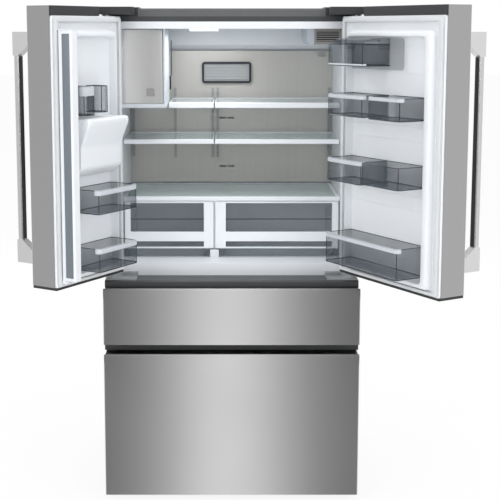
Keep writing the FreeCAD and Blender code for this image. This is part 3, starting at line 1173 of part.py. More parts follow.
def door_bin(u0, u1, z0, z1, v1, wall=3.0, trim=0.0, back=LINER_V, corner=14.0):
    """Open bin hung on the door; the front trim band is a little thicker."""
    outer = box(u0, u1, back, v1, z0, z1)
    outer = soften(outer, corner, Z_AXIS, lambda p: p.y > v1 - 1)
    outer = soften(outer, min(corner, 10.0), X_AXIS, lambda p: p.y > v1 - 1 and p.z < z0 + 1)
    inner = box(u0 + wall, u1 - wall, back + wall, v1 - wall, z0 + wall, z1 + 1)
    inner = soften(inner, corner - wall, Z_AXIS, lambda p: p.y > v1 - wall - 1)
    body = outer.cut(inner)
    if trim > 0:
        band = box(u0 - 1.5, u1 + 1.5, back, v1 + 1.5, z1 - trim, z1)
        band = soften(band, corner, Z_AXIS, lambda p: p.y > v1)
        body = body.fuse(band.cut(inner)).removeSplitter()
    return body


def dispenser_bulge():
    """White housing on the inside of the left door for the dispenser."""
    u0 = FIELD_U0 + 1.0
    u1 = LEFT_FIELD_U1 - 2.0
    z0, z1 = BULGE_Z0, BULGE_Z1
    v1, v2, v3 = DOOR_T + 12.0, DOOR_T + 44.0, DOOR_T + 79.0
    outline = [(LINER_V, z0), (v1, z0), (v2, z0 + 26.0), (v2, z1 - 95.0), (v3, z1 - 19.0), (v3, z1),
               (LINER_V, z1)]
    solid = plate_from(outline, u0, u1 - u0, "yz")
    solid = soften(solid, 9.0, None, lambda p: p.y > v2 + 2.0 and (p.x < u0 + 1 or p.x > u1 - 1))
    inner = [(LINER_V - 1, z0 + 3.0), (v1 - 1.0, z0 + 3.0), (v2 - 3.0, z0 + 27.5), (v2 - 3.0, z1 - 94.0),
             (v3 - 10.0, z1 - 22.0), (v3 - 10.0, z1 - 10.0), (LINER_V - 1, z1 - 10.0)]
    return solid, plate_from(inner, u0 + 10.0, u1 - u0 - 20.0, "yz")


def left_door_shell():
    """Left door wrap with the opening for the dispenser."""
    opening = box(DISP_U0, DISP_U1, -1, 5.0, DISP_Z0, DISP_Z1)
    return door_shell(LEFT_W).cut(opening)


def flipper_ears():
    """Two ears on the liner that carry the mullion pins."""
    ears = []
    for z0, z1, p0, p1 in ((FLIP_Z0 - 12.0, FLIP_Z0 - 1.0, FLIP_Z0 - 2.0, FLIP_Z0 + 12.0),
                           (FLIP_Z1 + 1.0, FLIP_Z1 + 5.0, FLIP_Z1 - 12.0, FLIP_Z1 + 2.0)):
        ears.append(box(FLIP_U - 8.0, FLIP_U + 1.5, DOOR_T - 1.0, FLIP_V + 6.0, z0, z1))
        ears.append(box(FLIP_U, FLIP_U + 7.0, DOOR_T + GASKET_T + 1.0, FLIP_V + 6.0, z0, z1))
        ears.append(cyl(SHAFT_R, (FLIP_U, FLIP_V, p0), p1 - p0))
    return ears


def left_door_liner():
    """Left inner panel with the dispenser housing and the mullion ears."""
    panel = door_liner(LEFT_W, LEFT_FIELD_U1, LEFT_DIKE_U1)
    solid, inner = dispenser_bulge()
    return fuse([panel, solid.cut(inner)] + flipper_ears())


def left_gasket():
    """Left gasket; its free strand lands on the mullion."""
    return door_gasket(GASKET_U0, LEFT_W - 4.0, 16.0)


def flipper_mullion():
    """Folding centre mullion, drawn folded against the left door."""
    body = box(FLIP_U - 25.0, FLIP_U + 10.0, FLIP_V - 8.0, FLIP_V + 47.0, FLIP_Z0, FLIP_Z1)
    body = soften(body, 6.0, Z_AXIS)
    strip = box(FLIP_U + 7.5, FLIP_U + 10.5, FLIP_V + 8.5, FLIP_V + 41.5, FLIP_Z0 + 7.0, FLIP_Z1 - 7.0)
    bores = [cyl(SHAFT_R + FIT, (FLIP_U, FLIP_V, FLIP_Z0 - 1), 15.0),
             cyl(SHAFT_R + FIT, (FLIP_U, FLIP_V, FLIP_Z1 - 14.0), 15.0)]
    return body.fuse(strip).removeSplitter().cut(bores)


def dispenser_alcove():
    """Recess in the outer face with a control glass, chute, paddle pin and tray seat."""
    outer = box(DISP_U0, DISP_U1, 0, DISP_DEPTH, DISP_Z0, DISP_Z1)
    hollow = box(DISP_U0 + 5.0, DISP_U1 - 5.0, -1, DISP_DEPTH - 4.0, DISP_Z0 + 5.0, DISP_Z1 - 84.0)
    hollow = soften(hollow, 14.0, Z_AXIS, lambda p: p.y > 1)
    rear = box(DISP_U0 + 4.0, DISP_U1 - 4.0, 6.0, DISP_DEPTH + 1, DISP_Z1 - 76.0, DISP_Z1 - 4.0)
    rim = frame_ring(DISP_U0 - 4.0, DISP_U1 + 4.0, -2.5, 0, DISP_Z0 - 4.0, DISP_Z1 + 4.0, 9.0, "y")
    glass = box(DISP_U0 + 4.0, DISP_U1 - 4.0, -1.5, 0, DISP_Z1 - 80.0, DISP_Z1 - 5.0)
    mid = (DISP_U0 + DISP_U1) / 2
    half = DISP_DEPTH / 2
    chute = cyl(22.0, (mid, half, DISP_Z1 - 118.0), 36.0)
    throat = cyl(17.0, (mid, half, DISP_Z1 - 119.0), 33.0)
    spout = cyl(4.0, (mid + 40.0, half - 2.0, DISP_Z1 - 104.0), 22.0)
    pin = cyl(SHAFT_R, (mid - 34.0, PADDLE_V, PADDLE_Z), 68.0, X_AXIS)
    ears = [box(mid + i * 32.0 - 2.0, mid + i * 32.0 + 2.0, PADDLE_V - 8.0, DISP_DEPTH - 3.0,
                PADDLE_Z - 8.0, PADDLE_Z + 8.0) for i in (-1, 1)]
    return fuse([outer.cut([hollow, rear]), rim, glass, chute.cut(throat), spout, pin] + ears)


def dispenser_paddle():
    """Lever pushed by the glass, hung on the pin in the recess."""
    mid = (DISP_U0 + DISP_U1) / 2
    knuckle = cyl(7.0, (mid - 26.0, PADDLE_V, PADDLE_Z), 52.0, X_AXIS)
    blade = box(mid - 19.0, mid + 19.0, PADDLE_V - 8.0, PADDLE_V - 4.0, PADDLE_Z - PADDLE_L, PADDLE_Z)
    blade = soften(blade, 12.0, Y_AXIS, lambda p: p.z < PADDLE_Z - PADDLE_L + 1)
    body = knuckle.fuse(blade).removeSplitter()
    return body.cut(cyl(SHAFT_R + FIT, (mid - 40.0, PADDLE_V, PADDLE_Z), 80.0, X_AXIS))


def drip_tray():
    """Pull-out tray with a slotted top at the bottom of the recess."""
    z0 = DISP_Z0 + 5.5
    body = box(DISP_U0 + 8.0, DISP_U1 - 8.0, 2.0, DISP_DEPTH - 20.0, z0, z0 + 14.0)
    body = soften(body, 4.0, Z_AXIS, lambda p: p.y < 3.0)
    inner = box(DISP_U0 + 12.0, DISP_U1 - 12.0, 6.0, DISP_DEPTH - 24.0, z0 + 3.0, z0 + 11.0)
    slots = []
    for i in range(13):
        u = DISP_U0 + 22.0 + i * 11.0
        slots.append(box(u, u + 6.0, 10.0, DISP_DEPTH - 28.0, z0 + 10.0, z0 + 15.0))
    return body.cut([inner] + slots)


BIN_V = DOOR_T + 110.0
CUP_V = DOOR_T + 59.0
CUP_Z0 = BULGE_Z1 + 8.0
CUP_Z1 = CUP_Z0 + 97.0
DAIRY_V1 = BIN_V - 3.0
DAIRY_W = 194.0
LID_V = DOOR_T + 34.0
LID_Z = FIELD_Z1 - 2.0
DAIRY_Z1 = LID_Z - 19.0
BIN_U0 = FIELD_U0 + 2.0
DAIRY_U1 = BIN_U0 + DAIRY_W
LEFT_U1 = LEFT_FIELD_U1 - 7.0
RIGHT_U1 = RIGHT_FIELD_U1 - 7.0


def level(share):
    """Height in the sunk field of a door, as a share of the way up."""
    return round(FIELD_Z0 + share * (FIELD_Z1 - FIELD_Z0))


LEFT_BINS = [(LEFT_U1 - 55.0, LEFT_U1 + 5.0, CUP_Z0, CUP_Z1, CUP_V, 31.0, 14.0),
             (LEFT_U1 - 130.0, LEFT_U1 - 88.0, CUP_Z0 + 7.0, CUP_Z1, CUP_V, 0.0, 18.0)]
LEFT_BINS += [(BIN_U0, LEFT_U1, z, z + h, BIN_V, 17.0, 14.0) for z, h in ((level(0.2545), 81.0),
                                                                          (level(0.0051), 80.0))]
RIGHT_LEVELS = [(BIN_U0, DAIRY_U1, 0.6645, 0.0, 73.0, DAIRY_V1, 13.0), (RIGHT_U1 - 165.0, RIGHT_U1,
                                                                        0.6632, 0.0, 74.0, BIN_V, 12.0),
                (BIN_U0, DAIRY_U1, 0.3779, 0.0, 78.0, DAIRY_V1, 14.0), (RIGHT_U1 - 195.0, RIGHT_U1,
                                                                        0.3779, 5.0, 73.0, BIN_V, 0.0),
                (BIN_U0, RIGHT_U1, 0.0129, 0.0, 102.0, BIN_V, 14.0)]
RIGHT_BINS = [(BIN_U0, DAIRY_U1, DAIRY_Z1 - 73.0, DAIRY_Z1, DAIRY_V1, 12.0, 12.0)]
for _u0, _u1, _share, _rise, _h, _v, _trim in RIGHT_LEVELS:
    _z = level(_share) + _rise
    RIGHT_BINS.append((_u0, _u1, _z, _z + _h, _v, _trim, 14.0))


def left_door_bins():
    """Cups and bins of the left door."""
    return [door_bin(u0, u1, z0, z1, v1, 3.0, trim, LINER_V, corner)
            for u0, u1, z0, z1, v1, trim, corner in LEFT_BINS]


def right_door_bins():
    """Bins of the right door; the dairy box has end walls with pins for its lid."""
    parts = []
    for u0, u1, z0, z1, v1, trim, corner in RIGHT_BINS:
        parts.append(door_bin(u0, u1, z0, z1, v1, 3.0, trim, LINER_V, corner))
    dairy = parts[0]
    u0, u1 = RIGHT_BINS[0][0], RIGHT_BINS[0][1]
    ends = []
    for a, b in ((u0, u0 + 3.0), (u1 - 3.0, u1)):
        ends.append(plate_from([(LINER_V, DAIRY_Z1 - 20.0), (LID_V + 6.0, DAIRY_Z1 - 20.0), (LID_V + 6.0,
                                                                                             LID_Z - 4.0),
                                (LID_V - 6.0, LID_Z + 1.0), (LINER_V, LID_Z + 1.0)], a, b - a, "yz"))
    pins = [cyl(2.5, (u0 + 2.0, LID_V, LID_Z - 7.0), 12.0, X_AXIS),
            cyl(2.5, (u1 - 14.0, LID_V, LID_Z - 7.0), 12.0, X_AXIS)]
    back = box(u0, DAIRY_U1 + 88.0, DOOR_T + 4.0, DOOR_T + 7.0, LID_Z - 104.0, LID_Z)
    rest = box(u0 + 2.0, u1 - 2.0, LINER_V, DOOR_T + 4.5, LID_Z - 72.0, LID_Z)
    parts[0] = fuse([dairy, back, rest] + ends + pins)
    return parts


def dairy_lid():
    """Curved lid of the dairy box with its hinge bores."""
    u0 = RIGHT_BINS[0][0] + 3.5
    u1 = RIGHT_BINS[0][1] - 3.5
    outline = [(LID_V, LID_Z - 2.0), (LID_V + 10.0, LID_Z), (LID_V + 44.0, LID_Z - 5.0), (DAIRY_V1,
                                                                                          DAIRY_Z1 + 4.5),
               (DAIRY_V1, DAIRY_Z1 + 1.0), (LID_V + 42.0, LID_Z - 9.0), (LID_V + 10.0, LID_Z - 4.0),
               (LID_V, LID_Z - 5.0)]
    shell = plate_from(outline, u0, u1 - u0, "yz")
    knuckle = cyl(4.6, (u0, LID_V, LID_Z - 7.0), u1 - u0, X_AXIS)
    body = shell.fuse(knuckle).removeSplitter()
    return body.cut([cyl(2.5 + FIT, (u0 - 1, LID_V, LID_Z - 7.0), 13.0, X_AXIS),
                     cyl(2.5 + FIT, (u1 - 12.0, LID_V, LID_Z - 7.0), 13.0, X_AXIS)])


def right_gasket():
    """Right gasket; its free strand lands on the mullion."""
    return door_gasket(GASKET_U0, RIGHT_W - 4.0, 18.0)


# ---- every node ---------------------------------------------------------------------
def build_cabinet():
    """Fixed pieces of the cabinet."""
    node("outer_case", outer_case())
    node("insulation", insulation())
    node("fridge_liner", fridge_liner())
    node("drawer_liners", group(drawer_liners()))
    node("divider_rails", group(divider_rails()))
    node("top_covers", group(top_covers()))
    node("door_hinges", group(door_hinges()))
    node("toe_grille", toe_grille())
    node("base_frame", base_frame())
    node("levelling_feet", group(levelling_feet()))
    node("compressor", compressor())
    node("condenser", condenser())
    node("machine_cover", machine_cover())
    node("water_valve", water_valve())
    node("evaporator", evaporator())
    node("duct_panels", group(duct_panels()))
    node("ceiling_light", ceiling_light())
    node("filter_housing", filter_housing())
    node("air_filter_cover", air_filter_cover())
    node("ice_box", ice_box())
    node("ice_bin", ice_bin())
    node("shelf_tracks", group(shelf_tracks()))
    node("shelf_frames", group(shelf_frames()))
    node("shelf_panes", group(shelf_panes()))
    node("crisper_cover", crisper_cover())
    node("drawer_rails", group(drawer_rails()))


def build_moving():
    """Small moving pieces inside the cabinet."""
    node("rear_rollers", group(rear_rollers()))
    node("condenser_fan", condenser_fan())
    node("evaporator_fan", evaporator_fan())
    node("ice_box_door", ice_box_door())
    node("ice_latch", ice_latch())
    node("ice_auger", ice_auger())
    node("crisper_left", group(crisper_left()))
    node("crisper_right", group(crisper_right()))


def build_doors():
    """Both doors, turned to their open rest."""
    node("left_door_shell", place_left(left_door_shell()))
    node("left_door_liner", place_left(left_door_liner()))
    node("left_door_gasket", place_left(left_gasket()))
    node("left_handle", place_left(door_handle(LEFT_W - HANDLE_IN)))
    node("flipper_mullion", place_left(flipper_mullion()))
    node("dispenser_alcove", place_left(dispenser_alcove()))
    node("dispenser_paddle", place_left(dispenser_paddle()))
    node("drip_tray", place_left(drip_tray()))
    node("left_door_bins", place_left(group(left_door_bins())))
    node("right_door_shell", place_right(door_shell(RIGHT_W)))
    node("right_door_liner", place_right(door_liner(RIGHT_W, RIGHT_FIELD_U1, RIGHT_DIKE_U1)))
    node("right_door_gasket", place_right(right_gasket()))
    node("right_handle", place_right(door_handle(RIGHT_W - HANDLE_IN)))
    node("right_door_bins", place_right(group(right_door_bins())))
    node("dairy_lid", place_right(dairy_lid()))


def build_drawers():
    """Both drawers, pushed home."""
    node("flex_front", drawer_front(FLEX_Z0, FLEX_Z1, FLEX_BODY_TOP))
    node("flex_gasket", drawer_gasket(FLEX_FLOOR - 15.0, LEDGE_Z0 - 2.0))
    node("flex_frame", drawer_frame(FLEX_Z0 + 2.0, FLEX_BODY_TOP - 2.0, FLEX_SLIDE_Z, FLEX_ARM_Z,
                                    FLEX_FLOOR + 8.0, FLEX_CEIL - 8.0))
    node("flex_mid_slides", group(mid_slides(FLEX_SLIDE_Z)))
    node("flex_bin", flex_bin())
    node("freezer_front", drawer_front(FREEZER_Z0, FREEZER_Z1, FREEZER_BODY_TOP))
    node("freezer_gasket", drawer_gasket(FREEZER_FLOOR - 15.0, FREEZER_BODY_TOP))
    node("freezer_frame", drawer_frame(FREEZER_Z0 + 2.0, FREEZER_BODY_TOP - 2.0, FREEZER_SLIDE_Z,
                                       FREEZER_ARM_Z,
                                       FREEZER_FLOOR + 8.0, FREEZER_CEIL - 18.0))
    node("freezer_mid_slides", group(mid_slides(FREEZER_SLIDE_Z)))
    node("freezer_basket", freezer_basket())
    node("freezer_tray", freezer_tray())


build_cabinet()
build_moving()
build_doors()
build_drawers()
for name, shape in NODES.items():
    shape.exportStep("parts/" + name + ".step")
print(len(NODES), "nodes written")
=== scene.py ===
# %% [markdown]
# # A refrigerator with swinging upper doors and two drawers
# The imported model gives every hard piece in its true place.  This script loads it, gives each
# piece its finish, adds the finer pieces that a solid modeller leaves plain, and lights the whole
# as a studio would.  Lengths are metres, X runs right, Y runs back and Z runs up.

# %% Load the frame
import json
import math
import bmesh
import bpy
import numpy as np
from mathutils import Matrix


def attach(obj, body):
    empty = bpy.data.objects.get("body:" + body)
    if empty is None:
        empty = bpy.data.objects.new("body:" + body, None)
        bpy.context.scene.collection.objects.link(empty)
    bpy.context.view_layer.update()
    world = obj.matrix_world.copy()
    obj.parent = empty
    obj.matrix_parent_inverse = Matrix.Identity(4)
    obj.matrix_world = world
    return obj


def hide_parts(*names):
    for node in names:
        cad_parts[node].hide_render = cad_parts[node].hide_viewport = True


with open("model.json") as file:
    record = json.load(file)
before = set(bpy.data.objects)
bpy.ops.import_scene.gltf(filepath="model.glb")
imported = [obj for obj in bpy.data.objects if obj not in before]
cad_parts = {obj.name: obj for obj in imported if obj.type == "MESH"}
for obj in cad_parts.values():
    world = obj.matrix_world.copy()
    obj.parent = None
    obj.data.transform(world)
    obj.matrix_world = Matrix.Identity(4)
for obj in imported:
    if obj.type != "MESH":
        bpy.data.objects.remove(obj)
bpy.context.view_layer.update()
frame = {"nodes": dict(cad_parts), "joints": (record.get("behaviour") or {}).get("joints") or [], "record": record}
nodes = frame["nodes"]
record = frame["record"]

# %% [markdown]
# ## Camera
# A tall appliance is shot from the height of its upper shelves with a long lens.  The camera tilts
# down a little and the lens is shifted for the rest, so that the sides stay nearly parallel.

# %% Camera
CAMERA_TILT = 8.0


def new_object(name, data):
    """An object around its data, linked to the scene."""
    made = bpy.data.objects.new(name, data)
    bpy.context.scene.collection.objects.link(made)
    return made


camera_data = bpy.data.cameras.new("camera")
camera = new_object("camera", camera_data)
bpy.context.scene.camera = camera
camera.location = (-0.0131, -4.443, 1.700)
camera.rotation_euler = (math.radians(90 - CAMERA_TILT), 0, 0)
camera_data.sensor_width = 36.0
camera_data.lens = 83.6
camera_data.shift_x = 0.044
camera_data.shift_y = -0.1145
camera_data.clip_end = 100.0
bpy.context.scene.view_settings.view_transform = "Standard"
bpy.context.scene.cycles.transparent_max_bounces = 32  # many thin clear walls stand one behind another
print("camera at", tuple(camera.location), "lens", camera_data.lens)

# %% [markdown]
# ## Small helpers for shader trees
# Every finish is a node tree.  A few helpers keep the wiring short: one adds a node and feeds its
# sockets by name, another joins two sockets or sets one, and the rest wrap the nodes used most.

# %% Shader helpers
VECTOR = "VectorMath"


def join(tree, source, target):
    """Links an output socket to an input socket, or sets the input where the source is a plain value."""
    if isinstance(source, bpy.types.NodeSocket):
        tree.links.new(source, target)
    else:
        target.default_value = source


def feed(tree, node, **values):
    """Feeds the inputs of a node by name, with _ for a space."""
    for key, value in values.items():
        join(tree, value, node.inputs[key.replace("_", " ")])


def add(tree, kind, **values):
    """Adds a node of type ShaderNode + kind; values go to its properties or, by name, to its inputs."""
    made = tree.nodes.new("ShaderNode" + kind)
    for key, value in values.items():
        if hasattr(made, key):
            setattr(made, key, value)
        else:
            feed(tree, made, **{key: value})
    return made


def insides(made):
    """The node tree of a material and its Principled shader."""
    return made.node_tree, made.node_tree.nodes["Principled BSDF"]


def start_material(name, colour, rough, metal=0.0):
    """A material with one Principled shader, its colour, roughness and metal set."""
    made = bpy.data.materials.new(name)
    made.use_nodes = True
    tree, shader = insides(made)
    feed(tree, shader, Base_Color=(*colour, 1), Roughness=rough, Metallic=metal)
    return made, tree, shader


print("shader helpers ready")

# %% Small sums in a shader
MIX_SOCKETS = {"FLOAT": (2, 3, 0), "RGBA": (6, 7, 2)}


def ramp(tree, source, low, high, out_low, out_high, kind="SMOOTHSTEP"):
    """A step of a value between two limits: smooth, or straight where the kind is LINEAR."""
    made = add(tree, "MapRange", interpolation_type=kind, Value=source,
               From_Min=low, From_Max=high, To_Min=out_low, To_Max=out_high)
    return made.outputs["Result"]


def maths(tree, operation, *values, kind="Math", result=0):
    """A Math node, or another kind of it, fed with sockets or numbers in their order."""
    made = add(tree, kind, operation=operation)
    for value, socket in zip(values, made.inputs):
        join(tree, value, socket)
    return made.outputs[result]


def mix(tree, kind, factor, first, second):
    """The first value where the factor is nought and the second where it is one."""
    made = add(tree, "Mix", data_type=kind)
    low, high, result = MIX_SOCKETS[kind]
    for value, index in ((factor, 0), (first, low), (second, high)):
        join(tree, value, made.inputs[index])
    return made.outputs[result]


def overlay(tree, kind, mask, socket, value):
    """Lays a fixed colour or number over what feeds a socket, where the mask is one."""
    join(tree, mix(tree, kind, mask, socket.links[0].from_socket, value), socket)


def place_of(tree, kind="Object"):
    """The coordinates of the shaded place."""
    return add(tree, "TexCoord").outputs[kind]


def apart(tree, vector):
    """The three parts of a vector."""
    return add(tree, "SeparateXYZ", Vector=vector).outputs


print("sums ready")

# %% [markdown]
# ## Node group: brushed grain
# Brushing leaves fine scratches in one direction.  A noise that is squeezed across the scratches
# and stretched along them looks the same, so the group scales the coordinates before the noise.

# %% Brushed grain group
def make_group(name, inputs, outputs):
    """An empty shader node group with the given sockets; gives it, its inputs and its outputs."""
    group = bpy.data.node_groups.new(name, "ShaderNodeTree")
    for label, kind, value in inputs:
        socket = group.interface.new_socket(label, in_out="INPUT", socket_type="NodeSocket" + kind)
        if value is not None:
            socket.default_value = value
    for label, kind in outputs:
        group.interface.new_socket(label, in_out="OUTPUT", socket_type="NodeSocket" + kind)
    return group, group.nodes.new("NodeGroupInput").outputs, group.nodes.new("NodeGroupOutput").inputs


SKIN_OUTPUTS = [("Colour", "Color"), ("Roughness", "Float"), ("Normal", "Vector")]
GRAIN_GLOSS = 0.05
GRAIN_DEPTH = 0.0004


def noise(tree, where, scale, detail, rough=0.5):
    """The level of a noise at a place."""
    return add(tree, "TexNoise", Vector=where, Scale=scale, Detail=detail, Roughness=rough).outputs["Fac"]


def brushed_grain_group():
    """A noise at position times stretch shifts the colour: colour * (1 + variation * (noise - 1/2))."""
    group, given, out = make_group(
        "brushed_grain",
        [("Vector", "Vector", None), ("Stretch", "Vector", (1.0, 1.0, 1.0)),
         ("Colour", "Color", (0.5, 0.5, 0.5, 1)), ("Variation", "Float", 0.05), ("Roughness", "Float", 0.3),
         ("Height", "Float", 0.02)], SKIN_OUTPUTS)
    scaled = maths(group, "MULTIPLY", given["Vector"], given["Stretch"], kind=VECTOR)
    fine = noise(group, scaled, scale=1.0, detail=4.0, rough=0.65)
    broad = noise(group, given["Vector"], scale=2.2, detail=2.0)
    weighted = maths(group, "MULTIPLY", maths(group, "SUBTRACT", fine, 0.5), given["Variation"])
    tint = add(group, VECTOR, operation="SCALE", Scale=maths(group, "ADD", weighted, 1.0))
    join(group, given["Colour"], tint.inputs[0])
    join(group, tint.outputs[0], out["Colour"])
    join(group, maths(group, "MULTIPLY_ADD", broad, GRAIN_GLOSS, given["Roughness"]), out["Roughness"])
    bump = add(group, "Bump", Distance=GRAIN_DEPTH, Height=fine, Strength=given["Height"])
    join(group, bump.outputs["Normal"], out["Normal"])
    return group


GRAIN = brushed_grain_group()
print("group", GRAIN.name)

# %% [markdown]
# ## Node group: moulded plastic
# Moulded plastic is never quite even: it has a faint orange peel, slightly different gloss from
# place to place, and a little dust in its colour.  Two noises, one broad and one fine, give this.

# %% Moulded plastic group
DUST_FROM, DUST_TO, DUST_MOST = 0.35, 0.75, 0.6
PEEL_GLOSS = 0.12
PEEL_DEPTH = 0.0005


def moulded_group():
    """Broad noise shifts colour and gloss, fine noise is the height of the orange peel."""
    group, given, out = make_group(
        "moulded_skin",
        [("Vector", "Vector", None), ("Colour", "Color", (0.8, 0.8, 0.8, 1)),
         ("Shade", "Color", (0.7, 0.7, 0.7, 1)), ("Roughness", "Float", 0.4),
         ("Peel Scale", "Float", 500.0), ("Peel", "Float", 0.05)], SKIN_OUTPUTS)
    broad = noise(group, given["Vector"], scale=5.0, detail=5.0, rough=0.6)
    fine = noise(group, given["Vector"], scale=given["Peel Scale"], detail=2.0)
    dust = ramp(group, broad, DUST_FROM, DUST_TO, 0.0, DUST_MOST, "LINEAR")
    join(group, mix(group, "RGBA", dust, given["Colour"], given["Shade"]), out["Colour"])
    join(group, maths(group, "MULTIPLY_ADD", broad, PEEL_GLOSS, given["Roughness"]), out["Roughness"])
    bump = add(group, "Bump", Distance=PEEL_DEPTH, Height=fine, Strength=given["Peel"])
    join(group, bump.outputs["Normal"], out["Normal"])
    return group


MOULDED = moulded_group()
print("group", MOULDED.name)

# %% [markdown]
# ## Finishes from the two groups
# A finish is a Principled shader whose colour, roughness and normal come from one of the groups.
# Metal takes the grain and plastic takes the moulded skin.  Clear plastic and glass are a moulded
# skin with an alpha: walls this thin hardly bend light, and alpha renders faster than refraction.

# %% Finishes from the two groups
CLEAR_IOR = 1.5
ALPHA_DRIFT = 0.04
EDGE_POWER, EDGE_RISE = 3.0, 0.75


def place_group(tree, group, **values):
    """Puts a node group in a material, fed with Object coordinates."""
    return add(tree, "Group", node_tree=group, Vector=place_of(tree), **values)


def wire_group(tree, shader, group, **values):
    """Places a group and feeds its colour, roughness and normal to the shader."""
    skin = place_group(tree, group, **values).outputs
    feed(tree, shader, Base_Color=skin["Colour"], Roughness=skin["Roughness"], Normal=skin["Normal"])


def brushed(name, colour, rough=0.3, stretch=(3.0, 3.0, 700.0), variation=0.25, height=0.03, metal=1.0):
    """Brushed metal whose scratches run where the stretch is small."""
    made, tree, shader = start_material(name, colour, rough, metal)
    wire_group(tree, shader, GRAIN, Stretch=stretch, Colour=(*colour, 1), Variation=variation,
               Roughness=rough, Height=height)
    return made


def moulded(name, colour, rough=0.4, shade=0.9, peel_scale=500.0, peel=0.05):
    """Moulded plastic or sprayed paint; its shade is the colour times a share."""
    made, tree, shader = start_material(name, colour, rough)
    darker = (*(part * shade for part in colour), 1)
    wire_group(tree, shader, MOULDED, Colour=(*colour, 1), Shade=darker, Roughness=rough,
               Peel_Scale=peel_scale, Peel=peel)
    return made


def clear(name, colour, alpha, rough=0.08, shade=0.8):
    """See-through plastic or glass: alpha drifts in a noise and rises towards the edge as facing^3."""
    made = moulded(name, colour, rough, shade, peel_scale=300.0, peel=0.02)
    tree, shader = insides(made)
    feed(tree, shader, IOR=CLEAR_IOR)
    cloud = noise(tree, place_of(tree), scale=9.0, detail=2.0)
    level = ramp(tree, cloud, 0.0, 1.0, alpha - ALPHA_DRIFT, alpha + ALPHA_DRIFT, "LINEAR")
    facing = add(tree, "LayerWeight", Blend=0.5).outputs["Facing"]
    rise = maths(tree, "MULTIPLY", maths(tree, "POWER", facing, EDGE_POWER), EDGE_RISE)
    feed(tree, shader, Alpha=maths(tree, "MINIMUM", maths(tree, "ADD", level, rise), 1.0))
    return made


print("finish helpers ready")

# %% [markdown]
# ## Node group: box mask
# One modelled piece often holds two real ones, such as a white frame and the clear bin behind it.
# The group says whether a place lies in a box: its distance from the middle of the box, less half
# the size of the box, is below nought along all three axes.

# %% Box mask group and the finishes that use it
def box_mask_group():
    """One inside a box and nought outside: the largest of |place - middle| - half is below nought."""
    group, given, out = make_group(
        "box_mask",
        [("Vector", "Vector", None), ("Middle", "Vector", (0.0, 0.0, 0.0)),
         ("Half", "Vector", (1.0, 1.0, 1.0))], [("Mask", "Float")])
    shift = maths(group, "SUBTRACT", given["Vector"], given["Middle"], kind=VECTOR)
    size = maths(group, "ABSOLUTE", shift, kind=VECTOR)
    over = apart(group, maths(group, "SUBTRACT", size, given["Half"], kind=VECTOR))
    most = maths(group, "MAXIMUM", maths(group, "MAXIMUM", over[0], over[1]), over[2])
    join(group, maths(group, "LESS_THAN", most, 0.0), out["Mask"])
    return group


def boxes_mask(tree, boxes):
    """Union of box masks in Object coordinates; each box is its low and its high corner."""
    total = None
    for low, high in boxes:
        middle = [(a + b) / 2 for a, b in zip(low, high)]
        half = [(b - a) / 2 for a, b in zip(low, high)]
        mask = place_group(tree, BOX_MASK, Middle=middle, Half=half).outputs["Mask"]
        total = mask if total is None else maths(tree, "MAXIMUM", total, mask)
    return total


def two_tone(made, other, boxes, invert=False, alpha=None):
    """Gives a finish a second colour inside boxes, and a second alpha where one is given."""
    tree, shader = insides(made)
    mask = boxes_mask(tree, boxes)
    if invert:
        mask = maths(tree, "SUBTRACT", 1.0, mask)
    overlay(tree, "RGBA", mask, shader.inputs["Base Color"], (*other, 1))
    if alpha is not None:
        overlay(tree, "FLOAT", mask, shader.inputs["Alpha"], alpha)


BOX_MASK = box_mask_group()
print("group", BOX_MASK.name)

# %% [markdown]
# ## Studio: world, lamps and floor
# Steel shows what stands in front of it, so the studio matters more than its colour.  The world
# is white behind the object, dim behind the camera with one pale upright strip, and brighter again
# at both sides, above and below.  The camera itself sees plain white.

# %% World
# Each lobe: a part of the direction, where it starts and ends, and the level at both places.
LOBES = [("aside", 0.0, 0.068, 1.66, 0.0),     # the upright strip
         ("right", -0.76, -0.37, 0.43, 0.0),   # left side
         ("right", 0.37, 0.76, 0.0, 0.54),     # right side
         ("up", 0.30, 0.85, 0.0, 0.55),        # above
         ("up", -0.80, -0.48, 0.45, 0.0)]      # below
DIM_LEVEL = 0.15
WHITE_BACK = 0.35  # how far back a direction must point to be fully white


def studio_world():
    """Level by direction: the sum of the lobes in front, white behind, and white for the camera."""
    world = bpy.data.worlds.new("studio")
    bpy.context.scene.world = world
    world.use_nodes = True
    tree = world.node_tree
    right, back, up = apart(tree, place_of(tree, "Generated"))
    parts = {"aside": maths(tree, "ABSOLUTE", right), "right": right, "up": up}
    level = DIM_LEVEL
    for part, *limits in LOBES:
        level = maths(tree, "ADD", ramp(tree, parts[part], *limits), level)
    behind = ramp(tree, back, 0.0, WHITE_BACK, 0.0, 1.0)
    rays = add(tree, "LightPath").outputs
    plain = maths(tree, "MAXIMUM", rays["Is Camera Ray"], rays["Is Transmission Ray"])
    level = mix(tree, "FLOAT", plain, mix(tree, "FLOAT", behind, level, 1.0), 1.0)
    feed(tree, tree.nodes["Background"], Strength=level, Color=(1, 1, 1, 1))


studio_world()
print("world lobes", len(LOBES))

# %% [markdown]
# ## Lamps
# Large square lamps give soft shadows, as softboxes do.  Two stand in front, one hangs above and
# one stands behind.  A small lamp under the ceiling is the compartment's own light, and a weak
# low one opens the shade below the crispers.

